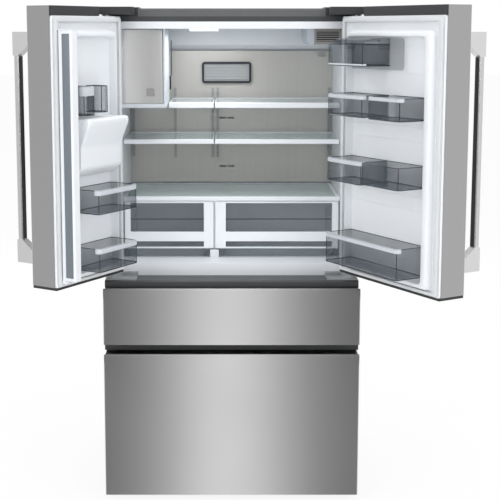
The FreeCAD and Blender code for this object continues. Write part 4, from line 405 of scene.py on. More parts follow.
# %% Lamps
# Each lamp: its place, the point it looks at, its side and its power in watts.
LAMPS = {"front_left_softbox": ((-2.6, -4.2, 2.9), (0.0, 0.0, 1.0), 2.4, 60.0),
         "front_right_softbox": ((2.6, -4.2, 2.9), (0.0, 0.0, 1.0), 2.4, 60.0),
         "top_softbox": ((0.0, -1.2, 4.2), (0.0, 0.0, 0.6), 2.6, 34.0),
         "rear_softbox": ((0.0, 4.6, 2.6), (0.0, 0.0, 1.0), 2.6, 34.0),
         "compartment_lamp": ((-0.10, -0.16, 1.685), (-0.10, -0.10, 0.0), 0.20, 1.25),
         "low_front_fill": ((0.0, -2.6, 0.30), (0.0, -0.3, 0.95), 1.2, 8.0)}


def softbox(name, place, aim, size, power):
    """Square area lamp turned to a point: it tips by the angle from straight down, then turns about Z."""
    data = bpy.data.lights.new(name, "AREA")
    data.shape = "SQUARE"
    data.size = size
    data.energy = power
    lamp = new_object(name, data)
    lamp.location = place
    right, back, up = np.subtract(aim, place)
    lamp.rotation_euler = (math.atan2(math.hypot(right, back), -up), 0, math.atan2(-right, back))
    return lamp


lamps = {name: softbox(name, *values) for name, values in LAMPS.items()}
lamps["low_front_fill"].visible_glossy = False  # the steel would mirror it as a spot
print("lamps", len(lamps))

# %% [markdown]
# ## Floor
# A floor lit by lamps alone never meets a white background evenly.  Most of what the camera sees of
# it is therefore a plain glow, and only the rest takes light and the soft shadow.

# %% Floor
FLOOR_REACH = 40.0
FLOOR_GLOW = 0.88


def make_floor():
    """Large pale square; part of its level is its own so that it meets the white behind it."""
    data = bpy.data.meshes.new("floor")
    corners = [(FLOOR_REACH * x, FLOOR_REACH * y, 0) for x, y in ((-1, -1), (1, -1), (1, 1), (-1, 1))]
    data.from_pydata(corners, [], [(0, 1, 2, 3)])
    floor = new_object("floor", data)
    made, tree, shader = start_material("floor_white", (0.9, 0.9, 0.9), 0.9)
    feed(tree, shader, Specular_IOR_Level=0.0)
    glow = add(tree, "Emission", Strength=1.0)
    rays = add(tree, "LightPath").outputs
    share = add(tree, "MixShader", Fac=maths(tree, "MULTIPLY", rays["Is Camera Ray"], FLOOR_GLOW))
    join(tree, shader.outputs[0], share.inputs[1])
    join(tree, glow.outputs[0], share.inputs[2])
    feed(tree, tree.nodes["Material Output"], Surface=share.outputs[0])
    data.materials.append(made)
    floor.visible_glossy = False


make_floor()
print("floor ready")

# %% [markdown]
# ## Finishes of the modelled pieces
# Each material slot of the record gets one finish.  A finish is chosen by what the real piece is
# made of: brushed steel, sprayed steel, moulded white, smoke-coloured clear plastic and so on.

# %% Plain finishes
# Each finish: slot, kind, colour, then the kind's own values in their order.
FINISH_TABLE = [
    ("case_paint", moulded, (0.33, 0.335, 0.34), 0.42, 0.92, 900.0, 0.08),
    ("foam", moulded, (0.80, 0.72, 0.50), 0.9, 0.8, 240.0, 0.5),
    ("liner_white", moulded, (0.76, 0.785, 0.815), 0.32, 0.965, 350.0, 0.03),
    ("rail_grey", moulded, (0.050, 0.052, 0.055), 0.35, 0.85, 900.0, 0.06),
    ("top_grey", moulded, (0.105, 0.108, 0.112), 0.5, 0.85, 700.0, 0.12),
    ("hinge_steel", brushed, (0.50, 0.51, 0.52), 0.34, (200.0, 12.0, 12.0), 0.2, 0.03),
    ("grille_grey", moulded, (0.05, 0.05, 0.055), 0.55),
    ("base_steel", moulded, (0.06, 0.06, 0.065), 0.45, 0.85, 700.0, 0.1),
    ("foot_black", moulded, (0.03, 0.03, 0.03), 0.75, 0.7, 300.0, 0.2),
    ("compressor_black", moulded, (0.02, 0.02, 0.022), 0.28, 0.8, 500.0, 0.1),
    ("condenser_metal", moulded, (0.04, 0.04, 0.042), 0.4),
    ("cover_galvanised", brushed, (0.52, 0.53, 0.55), 0.45, (18.0, 18.0, 18.0), 0.35, 0.03),
    ("valve_body", moulded, (0.70, 0.70, 0.67), 0.5),
    ("coil_aluminium", brushed, (0.70, 0.71, 0.73), 0.35, (12.0, 12.0, 300.0), 0.2, 0.03),
    ("duct_metallic", brushed, (0.62, 0.60, 0.57), 0.42, (260.0, 3.0, 2.0), 0.16, 0.02, 0.55),
    ("filter_taupe", moulded, (0.58, 0.62, 0.67), 0.42),
    ("cover_light", moulded, (0.55, 0.56, 0.57), 0.5),
    ("ice_white", moulded, (0.62, 0.66, 0.71), 0.35, 0.95, 350.0, 0.03),
    ("clear_bin", clear, (0.72, 0.80, 0.85), 0.35),
    ("track_grey", moulded, (0.42, 0.42, 0.42), 0.4),
    ("shelf_white", moulded, (0.78, 0.81, 0.85), 0.26, 0.95, 350.0, 0.03),
    ("shelf_glass", clear, (0.62, 0.74, 0.73), 0.22, 0.03),
    ("slide_zinc", brushed, (0.60, 0.61, 0.62), 0.36, (14.0, 14.0, 14.0), 0.3, 0.02),
    ("roller_plastic", moulded, (0.03, 0.03, 0.03), 0.5),
    ("fan_black", moulded, (0.025, 0.025, 0.027), 0.4),
    ("fan_white", moulded, (0.70, 0.70, 0.70), 0.4),
    ("ice_door_grey", brushed, (0.80, 0.80, 0.795), 0.25, (260.0, 3.0, 3.0), 0.10, 0.01, 0.75),
    ("latch_grey", moulded, (0.30, 0.30, 0.30), 0.4),
    ("auger_steel", brushed, (0.62, 0.63, 0.64), 0.25, (40.0, 6.0, 40.0), 0.2, 0.02),
    ("gasket_white", moulded, (0.66, 0.675, 0.69), 0.6, 0.85, 400.0, 0.1),
    ("alcove_black", moulded, (0.025, 0.025, 0.028), 0.18, 0.8, 500.0, 0.02),
    ("paddle_grey", moulded, (0.12, 0.12, 0.125), 0.4),
    ("tray_grey", moulded, (0.07, 0.07, 0.075), 0.45),
    ("bin_smoke", clear, (0.030, 0.047, 0.068), 0.14, 0.08),
    ("drawer_bin", clear, (0.78, 0.82, 0.86), 0.40, 0.25),
    ("crisper_smoke", clear, (0.36, 0.41, 0.47), 0.08),
    ("handle_steel", brushed, (0.84, 0.84, 0.84), 0.24, (500.0, 500.0, 3.0), 0.12, 0.02),
    ("lens", moulded, (0.86, 0.90, 0.95), 0.3, 0.97),
]
FINISHES = {name: kind(name, *values) for name, kind, *values in FINISH_TABLE}
print("plain finishes", len(FINISHES))

# %% [markdown]
# ## Door steel
# Sheet steel is brushed level, so each highlight is drawn out upright.  Anisotropy does this when
# the shader's tangent points up.  A real sheet is also never flat: a slight bow spreads what it
# mirrors, and a bump with a parabola for its height tilts the normal in the same way.

# %% Door steel
DOOR_GREY = (0.56, 0.56, 0.56)
DOOR_ANISOTROPY = 0.85
ICE_DOOR_MIDDLE = -0.400
ICE_DOOR_BOW = 0.60


def brushed_door(name):
    """Brushed steel with fine level scratches, whose tangent is upright."""
    made = brushed(name, DOOR_GREY, 0.21, (2.5, 2.5, 900.0), 0.16, 0.01)
    tree, shader = insides(made)
    upright = add(tree, "CombineXYZ", Z=1.0).outputs[0]
    feed(tree, shader, Anisotropic=DOOR_ANISOTROPY, Tangent=upright)
    return made


def crowned(made, middle, rise):
    """Tilts the normal as on a bowed plate: height = -rise * (x - middle)^2, in place of the grain's bump."""
    tree, shader = insides(made)
    off = maths(tree, "SUBTRACT", apart(tree, place_of(tree))[0], middle)
    height = maths(tree, "MULTIPLY", maths(tree, "MULTIPLY", off, off), -rise)
    bow = add(tree, "Bump", Strength=1.0, Distance=1.0, Height=height)
    feed(tree, shader, Normal=bow.outputs["Normal"])


FINISHES["door_steel"] = brushed_door("drawer_steel")
crowned(FINISHES["ice_door_grey"], ICE_DOOR_MIDDLE, ICE_DOOR_BOW)
print("door steel ready")

# %% [markdown]
# ## Lens, door white and second colours
# The lens in the ceiling glows faintly.  The door liners take the white of the compartment painted
# a shade lighter, as painted light for the brighter light on the doors.  Where one modelled piece
# shows two colours, boxes say where the second lies.

# %% Lamp lens and the door white, painted a shade lighter for the light on the doors
LENS_GLOW = 0.55
# Painted light: the same white as the compartment, a shade lighter because the doors stand in more light.
LIT_DOOR_WHITE = moulded("door_liner_white_lit", (0.78, 0.805, 0.835), 0.32, 0.965, 350.0, 0.03)
feed(*insides(FINISHES["lens"]), Emission_Color=(0.92, 0.97, 1.0, 1), Emission_Strength=LENS_GLOW)
print("lens glow", LENS_GLOW)

# %% Second colours
# Each row: slot, second colour, and the boxes that take it, as low and high corners.
SECOND_COLOURS = [
    ("handle_steel", (0.96, 0.96, 0.96), [((-1.0, -1.0, 1.6140), (1.0, 0.0, 1.70)),
                                          ((-1.0, -1.0, 0.90), (1.0, 0.0, 1.0030))]),
    ("top_grey", (0.026, 0.027, 0.029), [((-0.46, -0.6, 1.7), (-0.331, 0, 1.8)),
                                         ((0.331, -0.6, 1.7), (0.46, 0, 1.8))]),
    ("case_paint", (0.045, 0.047, 0.050), [((-0.46, -0.303, 0.0), (0.46, -0.2995, 1.76))]),
    ("filter_taupe", (0.34, 0.325, 0.31), [((0.305, -0.2300, 1.640), (0.410, -0.1095, 1.7045))]),
    ("filter_taupe", (0.03, 0.03, 0.032), [((0.312, -0.1190, 1.656), (0.398, -0.1170, 1.698))]),
    # The black patch on the side of the ice box is painted shade of the gap behind the box.
    ("ice_white", (0.02, 0.02, 0.022), [((-0.2379, 0.033, 1.471), (-0.230, 0.061, 1.525))])]
CRISPER_FRONTS = [((-0.41, -0.179, 0.8897), (0.41, -0.1650, 1.0695))]
FILTER_FIELD = [((-0.108, 0.1, 1.497), (0.071, 0.3, 1.564))]
for slot_name, other, boxes in SECOND_COLOURS:
    two_tone(FINISHES[slot_name], other, boxes)
two_tone(FINISHES["crisper_smoke"], (0.80, 0.83, 0.87), CRISPER_FRONTS, alpha=1.0)
two_tone(FINISHES["cover_light"], (0.030, 0.036, 0.045), FILTER_FIELD, invert=True)
print("second colours", len(SECOND_COLOURS) + 2)

# %% [markdown]
# ## Dressing the modelled pieces
# The record says which material slot each piece belongs to, and the finish of that slot goes on
# the whole piece.  The two door shells get a finish of their own further on.

# %% Give every modelled piece its finish
SLOT_OF = {part["node"]: part["material_slot"] for part in record["subparts"]}


def dress(node, finish):
    """Sets one finish on all slots of a modelled piece."""
    data = nodes[node].data
    if not data.materials:
        data.materials.append(finish)
    for index in range(len(data.materials)):
        data.materials[index] = finish


for node_name, slot_name in SLOT_OF.items():
    dress(node_name, FINISHES[slot_name])
print("dressed", len(SLOT_OF))

# %% [markdown]
# ## Pieces on the doors
# Door pieces are easiest to draw on a closed door: `across` runs from the hinge edge to the free
# edge, `depth` runs from the outer face into the cabinet, and `height` is Z.  The hinge's place and
# range in the record then turn them to the open door.

# %% Closed door to open door
HINGES = {joint["name"]: joint for joint in frame["joints"]}
CASE_HALF = 0.457
DOOR_FACE = -0.420


def on_door(side, across, depth, height):
    """Turns closed-door points about the hinge by the open angle: x' = c x - s y, y' = s x + c y."""
    hinge = HINGES[side + "_door_hinge"]
    sign = -1.0 if side == "left" else 1.0
    centre_x, centre_y = hinge["pos_m"][0], hinge["pos_m"][1]
    angle = math.radians(sign * abs(min(hinge["range_deg"])))
    x, y, z = np.broadcast_arrays(sign * (CASE_HALF - np.asarray(across)) - centre_x,
                                  DOOR_FACE + np.asarray(depth) - centre_y, height)
    cosine, sine = math.cos(angle), math.sin(angle)
    return np.stack([centre_x + cosine * x - sine * y, centre_y + sine * x + cosine * y, z], axis=-1)


print("left hinge at", HINGES["left_door_hinge"]["pos_m"])

# %% [markdown]
# ## Door shells
# The steel sheet wraps the outer face and both edges of a door up to its very top.  Plastic end
# caps close the bottom and the top between them, so one material holds both: the steel, and a
# dark matt plastic where a mask says cap.

# %% Door shells with end caps
DOOR_WIDTH = {"left": 0.370, "right": 0.539}
CAP_BOTTOM = 0.8528
CAP_TOP = 1.7452
CAP_DEPTH = 0.0975
CAP_COLOUR = (0.028, 0.029, 0.031, 1)
CAP_ROUGHNESS = 0.45
SHEET_EDGE = 0.002


def along(tree, origin, direction):
    """How far a place lies along a direction: (place - origin) . direction, in Object coordinates."""
    shift = maths(tree, "SUBTRACT", place_of(tree), origin, kind=VECTOR)
    return maths(tree, "DOT_PRODUCT", shift, direction, kind=VECTOR, result="Value")


def cap_mask(tree, side):
    """One on the caps: below the bottom line, and above the top line away from the sheet."""
    origin = on_door(side, 0.0, 0.0, 0.0)
    across = along(tree, origin, on_door(side, 1.0, 0.0, 0.0) - origin)
    depth = along(tree, origin, on_door(side, 0.0, 1.0, 0.0) - origin)
    height = along(tree, origin, (0.0, 0.0, 1.0))
    face = maths(tree, "LESS_THAN", depth, SHEET_EDGE)
    edge = maths(tree, "GREATER_THAN", across, DOOR_WIDTH[side] - SHEET_EDGE)
    edge = maths(tree, "MULTIPLY", edge, maths(tree, "LESS_THAN", depth, CAP_DEPTH))
    inside = maths(tree, "SUBTRACT", 1.0, maths(tree, "MAXIMUM", face, edge))
    over = maths(tree, "MULTIPLY", maths(tree, "GREATER_THAN", height, CAP_TOP), inside)
    return maths(tree, "MAXIMUM", over, maths(tree, "LESS_THAN", height, CAP_BOTTOM))


def door_with_caps(side):
    """The door steel with both plastic end caps masked in."""
    made = brushed_door(side + "_door_steel")
    tree, shader = insides(made)
    mask = cap_mask(tree, side)
    overlay(tree, "RGBA", mask, shader.inputs["Base Color"], CAP_COLOUR)
    overlay(tree, "FLOAT", mask, shader.inputs["Roughness"], CAP_ROUGHNESS)
    feed(tree, shader, Metallic=maths(tree, "SUBTRACT", 1.0, mask))
    return made


for door_side in DOOR_WIDTH:
    dress(door_side + "_door_shell", door_with_caps(door_side))
    print(door_side, "door shell dressed")

# %% [markdown]
# ## Loops to a skin
# Most moulded pieces are a stack of closed loops: the same outline, drawn again a little smaller
# or lower.  One function joins each loop to the next with quads and closes both ends, or joins the
# last loop to the first where the piece is a ring.

# %% Skin of loops
STACK_SHARP = 35
RING_SHARP = 40


def outward(made):
    """Turns all faces to look out of the body."""
    work = bmesh.new()
    work.from_mesh(made.data)
    bmesh.ops.recalc_face_normals(work, faces=work.faces)
    work.to_mesh(made.data)
    work.free()


def skin_of_loops(name, parts, finish, ring=False):
    """Joins each list of loops (rows, points, 3) by quads, row to row and round each row."""
    vertices, faces, base = [], [], 0
    for loops in parts:
        rows, count = loops.shape[:2]
        index = base + np.arange(rows * count).reshape(rows, count)
        after = np.roll(index, -1, axis=1)
        quads = np.stack([index, after, np.roll(after, -1, axis=0), np.roll(index, -1, axis=0)], axis=-1)
        if ring:
            faces += quads.reshape(-1, 4).tolist()
        else:
            faces += quads[:-1].reshape(-1, 4).tolist() + [index[0][::-1].tolist(), index[-1].tolist()]
        vertices.append(loops.reshape(-1, 3))
        base += rows * count
    data = bpy.data.meshes.new(name)
    data.from_pydata(np.concatenate(vertices).tolist(), [], faces)
    data.validate()
    made = new_object(name, data)
    outward(made)
    data.polygons.foreach_set("use_smooth", np.ones(len(data.polygons), bool))
    data.set_sharp_from_angle(angle=math.radians(RING_SHARP if ring else STACK_SHARP))
    data.materials.append(finish)
    print(name, len(data.polygons), "faces")
    return made


def fitting(name, parts, finish, body, ring=False):
    """Makes a piece of loops and says which body carries it."""
    made = skin_of_loops(name, parts, finish, ring)
    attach(made, body)
    return made


print("skin helpers ready")

# %% [markdown]
# ## Outlines
# Three outlines serve nearly all pieces: a rectangle with round corners, any outline with its
# corners eased, and a circle.  A plate is then one outline drawn at several places along one way
# of the door, a little smaller at its ends so that its edges catch the light.

# %% Outlines
ACROSS, DEPTH, HEIGHT = 0, 1, 2
PLATE_SOFT = 0.0008
QUARTER = math.pi / 2
REACH = 0.45  # share of an edge that an eased corner may take


def round_rectangle(half_x, half_y, radii, steps=6):
    """A rectangle with a quarter circle at each corner: corner centre plus radius times (cos, sin)."""
    turns = np.linspace(0.0, QUARTER, steps)
    signs = ((1, 1), (-1, 1), (-1, -1), (1, -1))
    points = []
    for quarter, ((sx, sy), radius) in enumerate(zip(signs, radii)):
        angle = turns + quarter * QUARTER
        points.append(np.stack([sx * (half_x - radius) + radius * np.cos(angle),
                                sy * (half_y - radius) + radius * np.sin(angle)], axis=-1))
    return np.concatenate(points)


def round_corners(points, radius, steps=5):
    """Each corner becomes a curve: the blend (1-t)^2 a + 2t(1-t) b + t^2 c of three points."""
    points = np.asarray(points, float)
    share = np.linspace(0.0, 1.0, steps)[:, None]
    made = []
    for before, corner, after in zip(np.roll(points, 1, axis=0), points, np.roll(points, -1, axis=0)):
        ways = [before - corner, after - corner]
        ends = [corner + way / np.linalg.norm(way) * min(radius, np.linalg.norm(way) * REACH) for way in ways]
        made.append((1 - share) ** 2 * ends[0] + 2 * share * (1 - share) * corner + share ** 2 * ends[1])
    return np.concatenate(made)


def circle(radius, count):
    """Points round a circle about nought: radius times (cos, sin)."""
    angle = np.arange(count) * 2 * math.pi / count
    return radius * np.stack([np.cos(angle), np.sin(angle)], axis=-1)


def drawn_loops(side, way, outline, centre, stations):
    """One outline at several places along a way, each drawn in: centre + (outline - centre) * share."""
    loops = []
    for place, share in stations:
        flat = centre + (outline - centre) * share
        spot = [flat[:, 0], flat[:, 1]]
        spot.insert(way, place)
        loops.append(on_door(side, *spot))
    return np.stack(loops)


def plate_loops(side, way, outline, low, high, end_share):
    """A plate with eased edges: an outline about its mean, smaller by a share at both faces."""
    stations = ((low, end_share), (low + PLATE_SOFT, 1.0), (high - PLATE_SOFT, 1.0), (high, end_share))
    return drawn_loops(side, way, outline, outline.mean(axis=0), stations)


print("outline helpers ready")

# %% [markdown]
# ## Door bins
# A door bin is moulded in one piece: a thin wall of smoke-coloured clear plastic with a rounded
# foot, and a paler trim bar set round its top.  Each bin is a stack of rounded rectangles that goes
# up the inside and down the outside; the trim is a small section carried round the front.

# %% Walls of a bin
def halves(span, deep):
    """Half the size across and half the size in depth."""
    return (span[1] - span[0]) / 2, (deep[1] - deep[0]) / 2


BIN_WALL = 0.003
BIN_FOOT = 0.009
FLOOR_INSET = 0.010
BACK_RADIUS = 0.0015
RIM_SOFT = BIN_WALL * 0.3


def bin_loops(side, span, deep, level, front_radius):
    """Loops from the floor up the inside and down the outside; the foot is a quarter circle of both."""
    half_u, half_v = halves(span, deep)
    low, high = level
    arc = np.linspace(0.0, QUARTER, 6)
    run, rise = BIN_FOOT * np.sin(arc), BIN_FOOT - BIN_FOOT * np.cos(arc)
    inset = np.concatenate([[BIN_FOOT + FLOOR_INSET], BIN_FOOT + BIN_WALL - run,
                            [BIN_WALL, BIN_WALL * 0.75, BIN_WALL * 0.25, 0.0],
                            rise, [BIN_FOOT + FLOOR_INSET]])
    height = np.concatenate([[low + BIN_WALL], low + BIN_WALL + rise,
                             [high - RIM_SOFT, high, high, high - RIM_SOFT],
                             low + BIN_FOOT - run, [low]])
    loops = []
    for shrink, z in zip(inset, height):
        front = max(front_radius - shrink, BACK_RADIUS)
        flat = round_rectangle(half_u - shrink, half_v - shrink, (front, front, BACK_RADIUS, BACK_RADIUS))
        loops.append(on_door(side, np.mean(span) + flat[:, 0], np.mean(deep) + flat[:, 1], z))
    return np.stack(loops)


print("wall helper ready")

# %% Trim of a bin
TRIM = moulded("bin_trim", (0.55, 0.58, 0.62), 0.30, 0.92, 350.0, 0.03)
TRIM_START = 0.004
TRIM_CROWN = 0.0004
TRIM_SOFT = 0.0018
# How far each corner of the trim's section stands out from the outline, from its foot round to its back.
TRIM_OUT = np.array([-0.0032, 0.0006, 0.0012, 0.0012, 0.0006, -0.0032, -0.0036, -0.0036])


def trim_loops(side, span, deep, level, front_radius):
    """A band round the front of a bin: a section carried along the front outline, on its outward normal."""
    half_u, half_v = halves(span, deep)
    steps = 6
    front = round_rectangle(half_u, half_v, (front_radius,) * 4, steps)[:2 * steps]
    angle = np.concatenate([np.linspace(0, QUARTER, steps), np.linspace(QUARTER, math.pi, steps)])
    away = np.stack([np.cos(angle), np.sin(angle)], axis=-1)
    away = np.concatenate([away[:1], away, away[-1:]])
    start = np.array([half_u, half_v - front_radius - TRIM_START])
    path = np.concatenate([[start], front, [start * (-1, 1)]]) + (np.mean(span), np.mean(deep))
    low, high = level
    soft, crown = min(TRIM_SOFT, (high - low) / 3), high + TRIM_CROWN
    height = np.array([low, low, low + soft, high - soft, crown, crown, high - soft, low + soft])
    across, depth = np.moveaxis(path[:, None] + away[:, None] * TRIM_OUT[:, None], -1, 0)
    return on_door(side, across, depth, height[None, :])


print("trim", TRIM.name)

# %% [markdown]
# ## Dark edges of the bins
# The thick edges of clear plastic look dark, because one sees far into the wall there.  Thin dark
# beads at the foot, at the rim and at the front corners of each bin give this line.

# %% Edge beads of a bin
BIN_EDGE = moulded("bin_edge", (0.016, 0.022, 0.030), 0.2, 0.85, 500.0, 0.02)
BEAD_SIDES = 6
FOOT_BEAD, FOOT_BEAD_UP = 0.0019, 0.0021
RIM_BEAD = 0.0012
CORNER_BEAD, CORNER_GAP = 0.0013, 0.003


def line_ring(side, span, deep, level, radius, thick):
    """A thin bead round a bin: a circle of points carried along the outline, along its normal."""
    path = round_rectangle(*halves(span, deep), (radius, radius, BACK_RADIUS, BACK_RADIUS))
    tangent = np.roll(path, -1, axis=0) - np.roll(path, 1, axis=0)
    normal = np.stack([tangent[:, 1], -tangent[:, 0]], axis=-1) / np.linalg.norm(tangent, axis=1)[:, None]
    out, up = circle(thick, BEAD_SIDES).T
    flat = path[:, None] + normal[:, None] * out[None, :, None]
    return on_door(side, np.mean(span) + flat[..., 0], np.mean(deep) + flat[..., 1], level + up[None, :])


def corner_lines(side, span, deep, level, radius, thick):
    """Upright beads halfway round both front corners: radius * (1 - sqrt(1/2)) in from both sides."""
    reach = radius * (1 - math.sqrt(0.5))
    out, inward = circle(thick, BEAD_SIDES).T
    beads = []
    for across in (span[0] + reach, span[1] - reach):
        beads.append(np.stack([on_door(side, across + out, deep[1] - reach + inward, z) for z in level]))
    return beads


print("bead", BIN_EDGE.name)

# %% Bins of both doors
# Each bin: span across, span in depth, span in height, trim height and front radius.
# A trim of nought is none, and a negative one goes at the foot.
BIG, SLIM, CUP = (0.1004, 0.216), (0.1004, 0.213), (0.1004, 0.165)
BINS = {
    "left": [((0.223, 0.283), CUP, (1.418, 1.515), 0.031, 0.014),
             ((0.148, 0.190), CUP, (1.425, 1.515), 0.0, 0.018),
             ((0.064, 0.278), BIG, (1.094, 1.175), 0.017, 0.014),
             ((0.064, 0.278), BIG, (0.900, 0.980), 0.017, 0.014)],
    "right": [((0.064, 0.258), SLIM, (1.580, 1.653), -0.008, 0.012),
              ((0.064, 0.258), SLIM, (1.413, 1.486), 0.013, 0.014),
              ((0.292, 0.457), BIG, (1.412, 1.486), 0.012, 0.014),
              ((0.064, 0.258), SLIM, (1.190, 1.268), 0.014, 0.014),
              ((0.262, 0.457), BIG, (1.195, 1.268), 0.0, 0.014),
              ((0.064, 0.457), BIG, (0.906, 1.008), 0.014, 0.014)]}


def make_bins(side):
    """Smoke walls of all bins of one door, and their trims."""
    walls, trims = [], []
    for span, deep, (low, high), trim, radius in BINS[side]:
        walls.append(bin_loops(side, span, deep, (low, high), radius))
        if trim:
            band = (low, low - trim) if trim < 0 else (high - trim, high)
            trims.append(trim_loops(side, span, deep, band, radius))
    smoke = fitting(side + "_bins_smoke", walls, FINISHES["bin_smoke"], side + "_door")
    fitting(side + "_bins_trim", trims, TRIM, side + "_door")
    return smoke


def make_bin_edges(side):
    """Beads at the foot, at the rim and at the front corners of each bin of one door."""
    rings, beads = [], []
    for span, deep, (low, high), trim, radius in BINS[side]:
        rings.append(line_ring(side, span, deep, low + FOOT_BEAD_UP, radius, FOOT_BEAD))
        rings.append(line_ring(side, span, deep, high - RIM_BEAD, radius, RIM_BEAD))
        ends = (low + CORNER_GAP, high - max(trim, CORNER_GAP))
        beads += corner_lines(side, span, deep, ends, radius, CORNER_BEAD)
    fitting(side + "_bin_edges", rings, BIN_EDGE, side + "_door", ring=True)
    fitting(side + "_bin_corners", beads, BIN_EDGE, side + "_door")


bins = {side: make_bins(side) for side in BINS}
for side in BINS:
    make_bin_edges(side)
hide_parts("left_door_bins")

# %% [markdown]
# ## Dairy box
# The top bin of the right door is a dairy box.  A flat plate closes it at the back and an end wall
# at each side carries its lid, so these are three plates and no second bin.

# %% Dairy box back and ends
DAIRY_PLATE = round_rectangle(0.141, 0.052, (0.012,) * 4) + np.array([0.205, 1.620])
DAIRY_END = np.array([(0.101, 1.634), (0.146, 1.634), (0.146, 1.668), (0.134, 1.673), (0.101, 1.673)])
DAIRY_ENDS_AT = (0.064, 0.255)

dairy_parts = [plate_loops("right", DEPTH, DAIRY_PLATE, 0.110, 0.113, 0.988)]
for low in DAIRY_ENDS_AT:
    stations = ((low, 1.0), (low + BIN_WALL, 1.0))
    dairy_parts.append(drawn_loops("right", ACROSS, DAIRY_END, DAIRY_END.mean(axis=0), stations))
fitting("dairy_back", dairy_parts, FINISHES["bin_smoke"], "right_door")
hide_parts("right_door_bins")

# %% [markdown]
# ## Door liners
# The inner panel of a door is one vacuum-formed sheet: a flat flange, a raised dike all round that
# reaches into the cabinet, and a sunk field that carries the bins.  Forming leaves no sharp edge,
# so the skin is a row of rounded rectangles from the rim to the field, each a little further in.

# %% Door liners
# Free edge of the dike and of the field, across the door.
LINER_EDGES = {"left": (0.318, 0.285), "right": (0.503, 0.464)}
# Each row, rim to field: hinge side, free side as an edge and what is added to it, foot, top, radius, depth.
LINER_ROWS = [(0.0020, "width", -0.0020, 0.8530, 1.7450, 0.004, 0.0985),
              (0.0020, "width", -0.0020, 0.8530, 1.7450, 0.004, 0.1052),
              (0.0028, "width", -0.0028, 0.8538, 1.7442, 0.004, 0.1060),
              (0.0546, "dike", 0.0006, 0.8674, 1.7026, 0.021, 0.1060),
              (0.0552, "dike", -0.0010, 0.8690, 1.7008, 0.020, 0.1072),
              (0.0566, "dike", -0.0066, 0.8745, 1.6936, 0.016, 0.1250),
              (0.0571, "dike", -0.0084, 0.8764, 1.6916, 0.015, 0.1285),
              (0.0579, "dike", -0.0115, 0.8795, 1.6885, 0.014, 0.1299),
              (0.0597, "field", 0.0092, 0.8850, 1.6812, 0.013, 0.1299),
              (0.0603, "field", 0.0067, 0.8874, 1.6788, 0.013, 0.1286),
              (0.0608, "field", 0.0052, 0.8888, 1.6778, 0.013, 0.1250),
              (0.0618, "field", 0.0010, 0.8945, 1.6746, 0.013, 0.1035),
              (0.0626, "field", -0.0008, 0.8967, 1.6732, 0.013, 0.1006),
              (0.0650, "field", -0.0040, 0.9000, 1.6700, 0.012, 0.1000)]


def rect_loop(side, rect, radius, depth, steps=7):
    """A rounded rectangle given by its four sides, at one depth in the door."""
    u0, u1, z0, z1 = rect
    flat = round_rectangle((u1 - u0) / 2, (z1 - z0) / 2, (radius,) * 4, steps)
    return on_door(side, (u0 + u1) / 2 + flat[:, 0], depth, (z0 + z1) / 2 + flat[:, 1])


def liner_loops(side):
    """Back, rim, flange, outer slope, rounded top, inner slope and field of the panel."""
    edges = {"width": DOOR_WIDTH[side], "dike": LINER_EDGES[side][0], "field": LINER_EDGES[side][1]}
    return np.stack([rect_loop(side, (near, edges[edge] + more, foot, top), radius, depth)
                     for near, edge, more, foot, top, radius, depth in LINER_ROWS])


print("liner rows", len(LINER_ROWS))

# %% [markdown]
# ## Housing and ears on the left liner
# The left liner bulges out over the chute of the ice and water dispenser, and its free edge has
# ears with pins for the folding mullion.  All of them are outlines drawn along one way of the door.

# %% Dispenser housing and mullion ears on the left liner
HOUSING = round_corners([(0.0995, 1.214), (0.118, 1.214), (0.150, 1.240), (0.150, 1.315), (0.185, 1.391),
                         (0.185, 1.410), (0.0995, 1.410)], 0.012)
HOUSING_CENTRE = np.array([0.0995, 1.312])
# Places across the door, and the share that the outline keeps there.
HOUSING_STATIONS = ((0.0632, 0.93), (0.0646, 0.965), (0.068, 0.988), (0.074, 1.0), (0.272, 1.0),
                    (0.278, 0.988), (0.2814, 0.965), (0.2828, 0.93))
EAR = round_corners([(0.340, 0.105), (0.3495, 0.105), (0.3495, 0.1175), (0.355, 0.1185), (0.355, 0.1345),
                     (0.340, 0.1345)], 0.002)
PIN = circle(0.003, 20) + np.array([0.348, 0.1285])
POSTS = [(EAR, 0.868, 0.879), (EAR, 1.698, 1.702), (PIN, 0.878, 0.892), (PIN, 1.685, 1.699)]


def make_liner(side):
    """The panel; the left one has the dispenser housing, the mullion ears and their pins."""
    parts = [liner_loops(side)]
    if side == "left":
        parts.append(drawn_loops(side, ACROSS, HOUSING, HOUSING_CENTRE, HOUSING_STATIONS))
        parts += [plate_loops(side, HEIGHT, outline, low, high, 0.96) for outline, low, high in POSTS]
    made = fitting(side + "_liner_skin", parts, LIT_DOOR_WHITE, side + "_door")
    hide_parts(side + "_door_liner")


for liner_side in DOOR_WIDTH:
    make_liner(liner_side)

# %% [markdown]
# ## Door gaskets
# A gasket is a soft magnetic strip on a folded bellows, so that it stretches as the door opens.
# Its section is drawn once, as a share of the way from the outer to the inner edge and a depth, and
# goes round the door.

# %% Door gaskets
FOLDS = [(0.18, 0.1062), (0.05, 0.1075), (0.20, 0.1095), (0.05, 0.1118), (0.0, 0.1136), (0.0, 0.1168),
         (0.08, 0.1174), (0.92, 0.1174), (1.0, 0.1168), (1.0, 0.1136), (0.95, 0.1118), (0.80, 0.1095),
         (0.95, 0.1075), (0.82, 0.1062)]
GASKET_RECTS = {"left": ((0.014, 0.366, 0.857, 1.740), (0.026, 0.350, 0.867, 1.726)),
                "right": ((0.014, 0.535, 0.857, 1.740), (0.026, 0.517, 0.867, 1.726))}
OUTER_CORNER, CORNER_LOSS = 0.007, 0.004


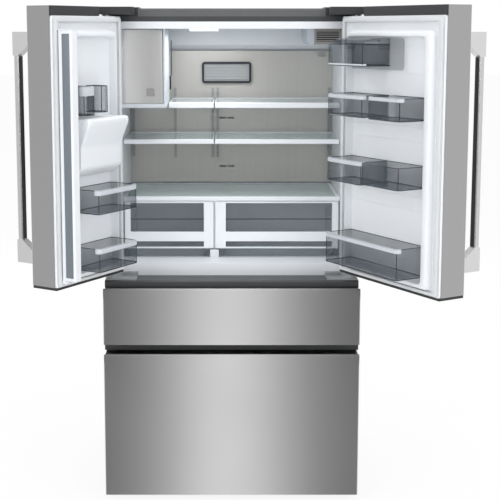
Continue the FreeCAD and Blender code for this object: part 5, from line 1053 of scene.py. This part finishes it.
def make_gasket(side):
    """Bellows section carried round the door, closed both ways."""
    outer, inner = (np.array(rect) for rect in GASKET_RECTS[side])
    loops = [rect_loop(side, outer + (inner - outer) * share, OUTER_CORNER - CORNER_LOSS * share, depth, 5)
             for share, depth in FOLDS]
    made = fitting(side + "_gasket_bellows", [np.stack(loops)], FINISHES["gasket_white"],
                   side + "_door", ring=True)
    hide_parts(side + "_door_gasket")


for gasket_side in GASKET_RECTS:
    make_gasket(gasket_side)

# %% [markdown]
# ## Mullion strip
# The folding mullion carries a flat steel strip for the gasket magnets, painted grey.  It is a
# flat bar with rounded ends that stands 0.5 mm proud of the mullion.

# %% Mullion strip
STRIP = moulded("mullion_strip", (0.155, 0.180, 0.205), 0.38, 0.92, 900.0, 0.05)
STRIP_OUTLINE = round_corners([(0.138, 0.890), (0.169, 0.890), (0.169, 1.687), (0.138, 1.687)], 0.003)
STRIP_CENTRE = np.array([0.1535, 1.2885])
STRIP_STATIONS = ((0.3580, 1.0), (0.3588, 1.0), (0.3590, 0.997))
strip_loops = drawn_loops("left", ACROSS, STRIP_OUTLINE, STRIP_CENTRE, STRIP_STATIONS)
fitting("flipper_strip", [strip_loops], STRIP, "flipper")

# %% [markdown]
# ## Small fittings
# Thin bars: a black strip on the back of each handle bar, which is a painted dark reflection, a black
# bar at the rear edge of the ice box, which is painted shade of the gap behind it, and the parts that a
# moulding carries: the front edge of each crisper bin and the shallow ribs of the door field.  Each is
# a short bar with rounded edges, drawn as a stack of rounded rectangles.

# %% Bars
BLACK = moulded("satin_black", (0.018, 0.018, 0.020), 0.35, 0.8, 700.0, 0.05)
BAR_RADIUS = 0.0008
BAR_FILL = 0.9  # share of the thinner half that a radius may take
END_SHARE = 0.2


def bar_loops(low, high, radius=BAR_RADIUS):
    """An upright bar between two corners: four rounded rectangles, drawn in at both ends."""
    low, high = np.array(low, float), np.array(high, float)
    middle, half = (low + high) / 2, (high - low) / 2
    radius = min(radius, half.min() * BAR_FILL)
    foot, top = low[2], high[2]
    loops = []
    for height, inset in ((foot, radius), (foot + radius, 0.0), (top - radius, 0.0), (top, radius)):
        corner = max(radius - inset, radius * END_SHARE)
        flat = round_rectangle(half[0] - inset, half[1] - inset, (corner,) * 4, 4)
        loops.append(np.column_stack([flat + middle[:2], np.full(len(flat), height)]))
    return np.stack(loops)


def door_bar(side, low, high, radius=BAR_RADIUS):
    """The same bar in door coordinates: across, depth and height."""
    return on_door(side, *np.moveaxis(bar_loops(low, high, radius), -1, 0))


print("bar helpers ready")

# %% Small fittings
# Spans are low and high: across or right, in depth or back, and in height.
HANDLE_MIDDLES = {"left": 0.350, "right": 0.519}
# The black strip on the back of each handle bar is a painted dark reflection of the steel.
HANDLE_REFLECTION_HALF = 0.0092
HANDLE_REFLECTION_DEPTH, HANDLE_REFLECTION_HEIGHT = (-0.0455, -0.0428), (1.003, 1.614)
RIB_FEET = (1.640, 1.560, 1.385, 1.340, 1.160, 1.115)
RIB_HEIGHT = 0.003
RIB_ACROSS, RIB_DEPTH = (0.070, 0.458), (0.0995, 0.1012)
CRISPER_EDGES = {"left": (-0.376, -0.103), "right": (-0.0215, 0.374)}
CRISPER_BACK, CRISPER_UP = (-0.1668, -0.1646), (0.9985, 1.0012)
# A black bar at the rear edge of the ice box: painted shade of the gap behind the box.
ICE_GAP_SHADE = ((-0.2325, -0.2290), (0.0440, 0.0480), (1.5235, 1.6600))

# Painted dark reflection on the back of each handle bar.
for side, middle in HANDLE_MIDDLES.items():
    across = (middle - HANDLE_REFLECTION_HALF, middle + HANDLE_REFLECTION_HALF)
    strip = door_bar(side, *zip(across, HANDLE_REFLECTION_DEPTH, HANDLE_REFLECTION_HEIGHT), 0.001)
    fitting(side + "_handle_dark_reflection", [strip], BLACK, side + "_door")
ribs = [door_bar("right", *zip(RIB_ACROSS, RIB_DEPTH, (foot, foot + RIB_HEIGHT))) for foot in RIB_FEET]
fitting("right_liner_ribs", ribs, LIT_DOOR_WHITE, "right_door")
for side, right_span in CRISPER_EDGES.items():
    edge = bar_loops(*zip(right_span, CRISPER_BACK, CRISPER_UP))
    fitting("crisper_" + side + "_edge", [edge], BLACK, "crisper_" + side)
fitting("ice_gap_shade_bar", [bar_loops(*zip(*ICE_GAP_SHADE), 0.0015)], BLACK, "cabinet")
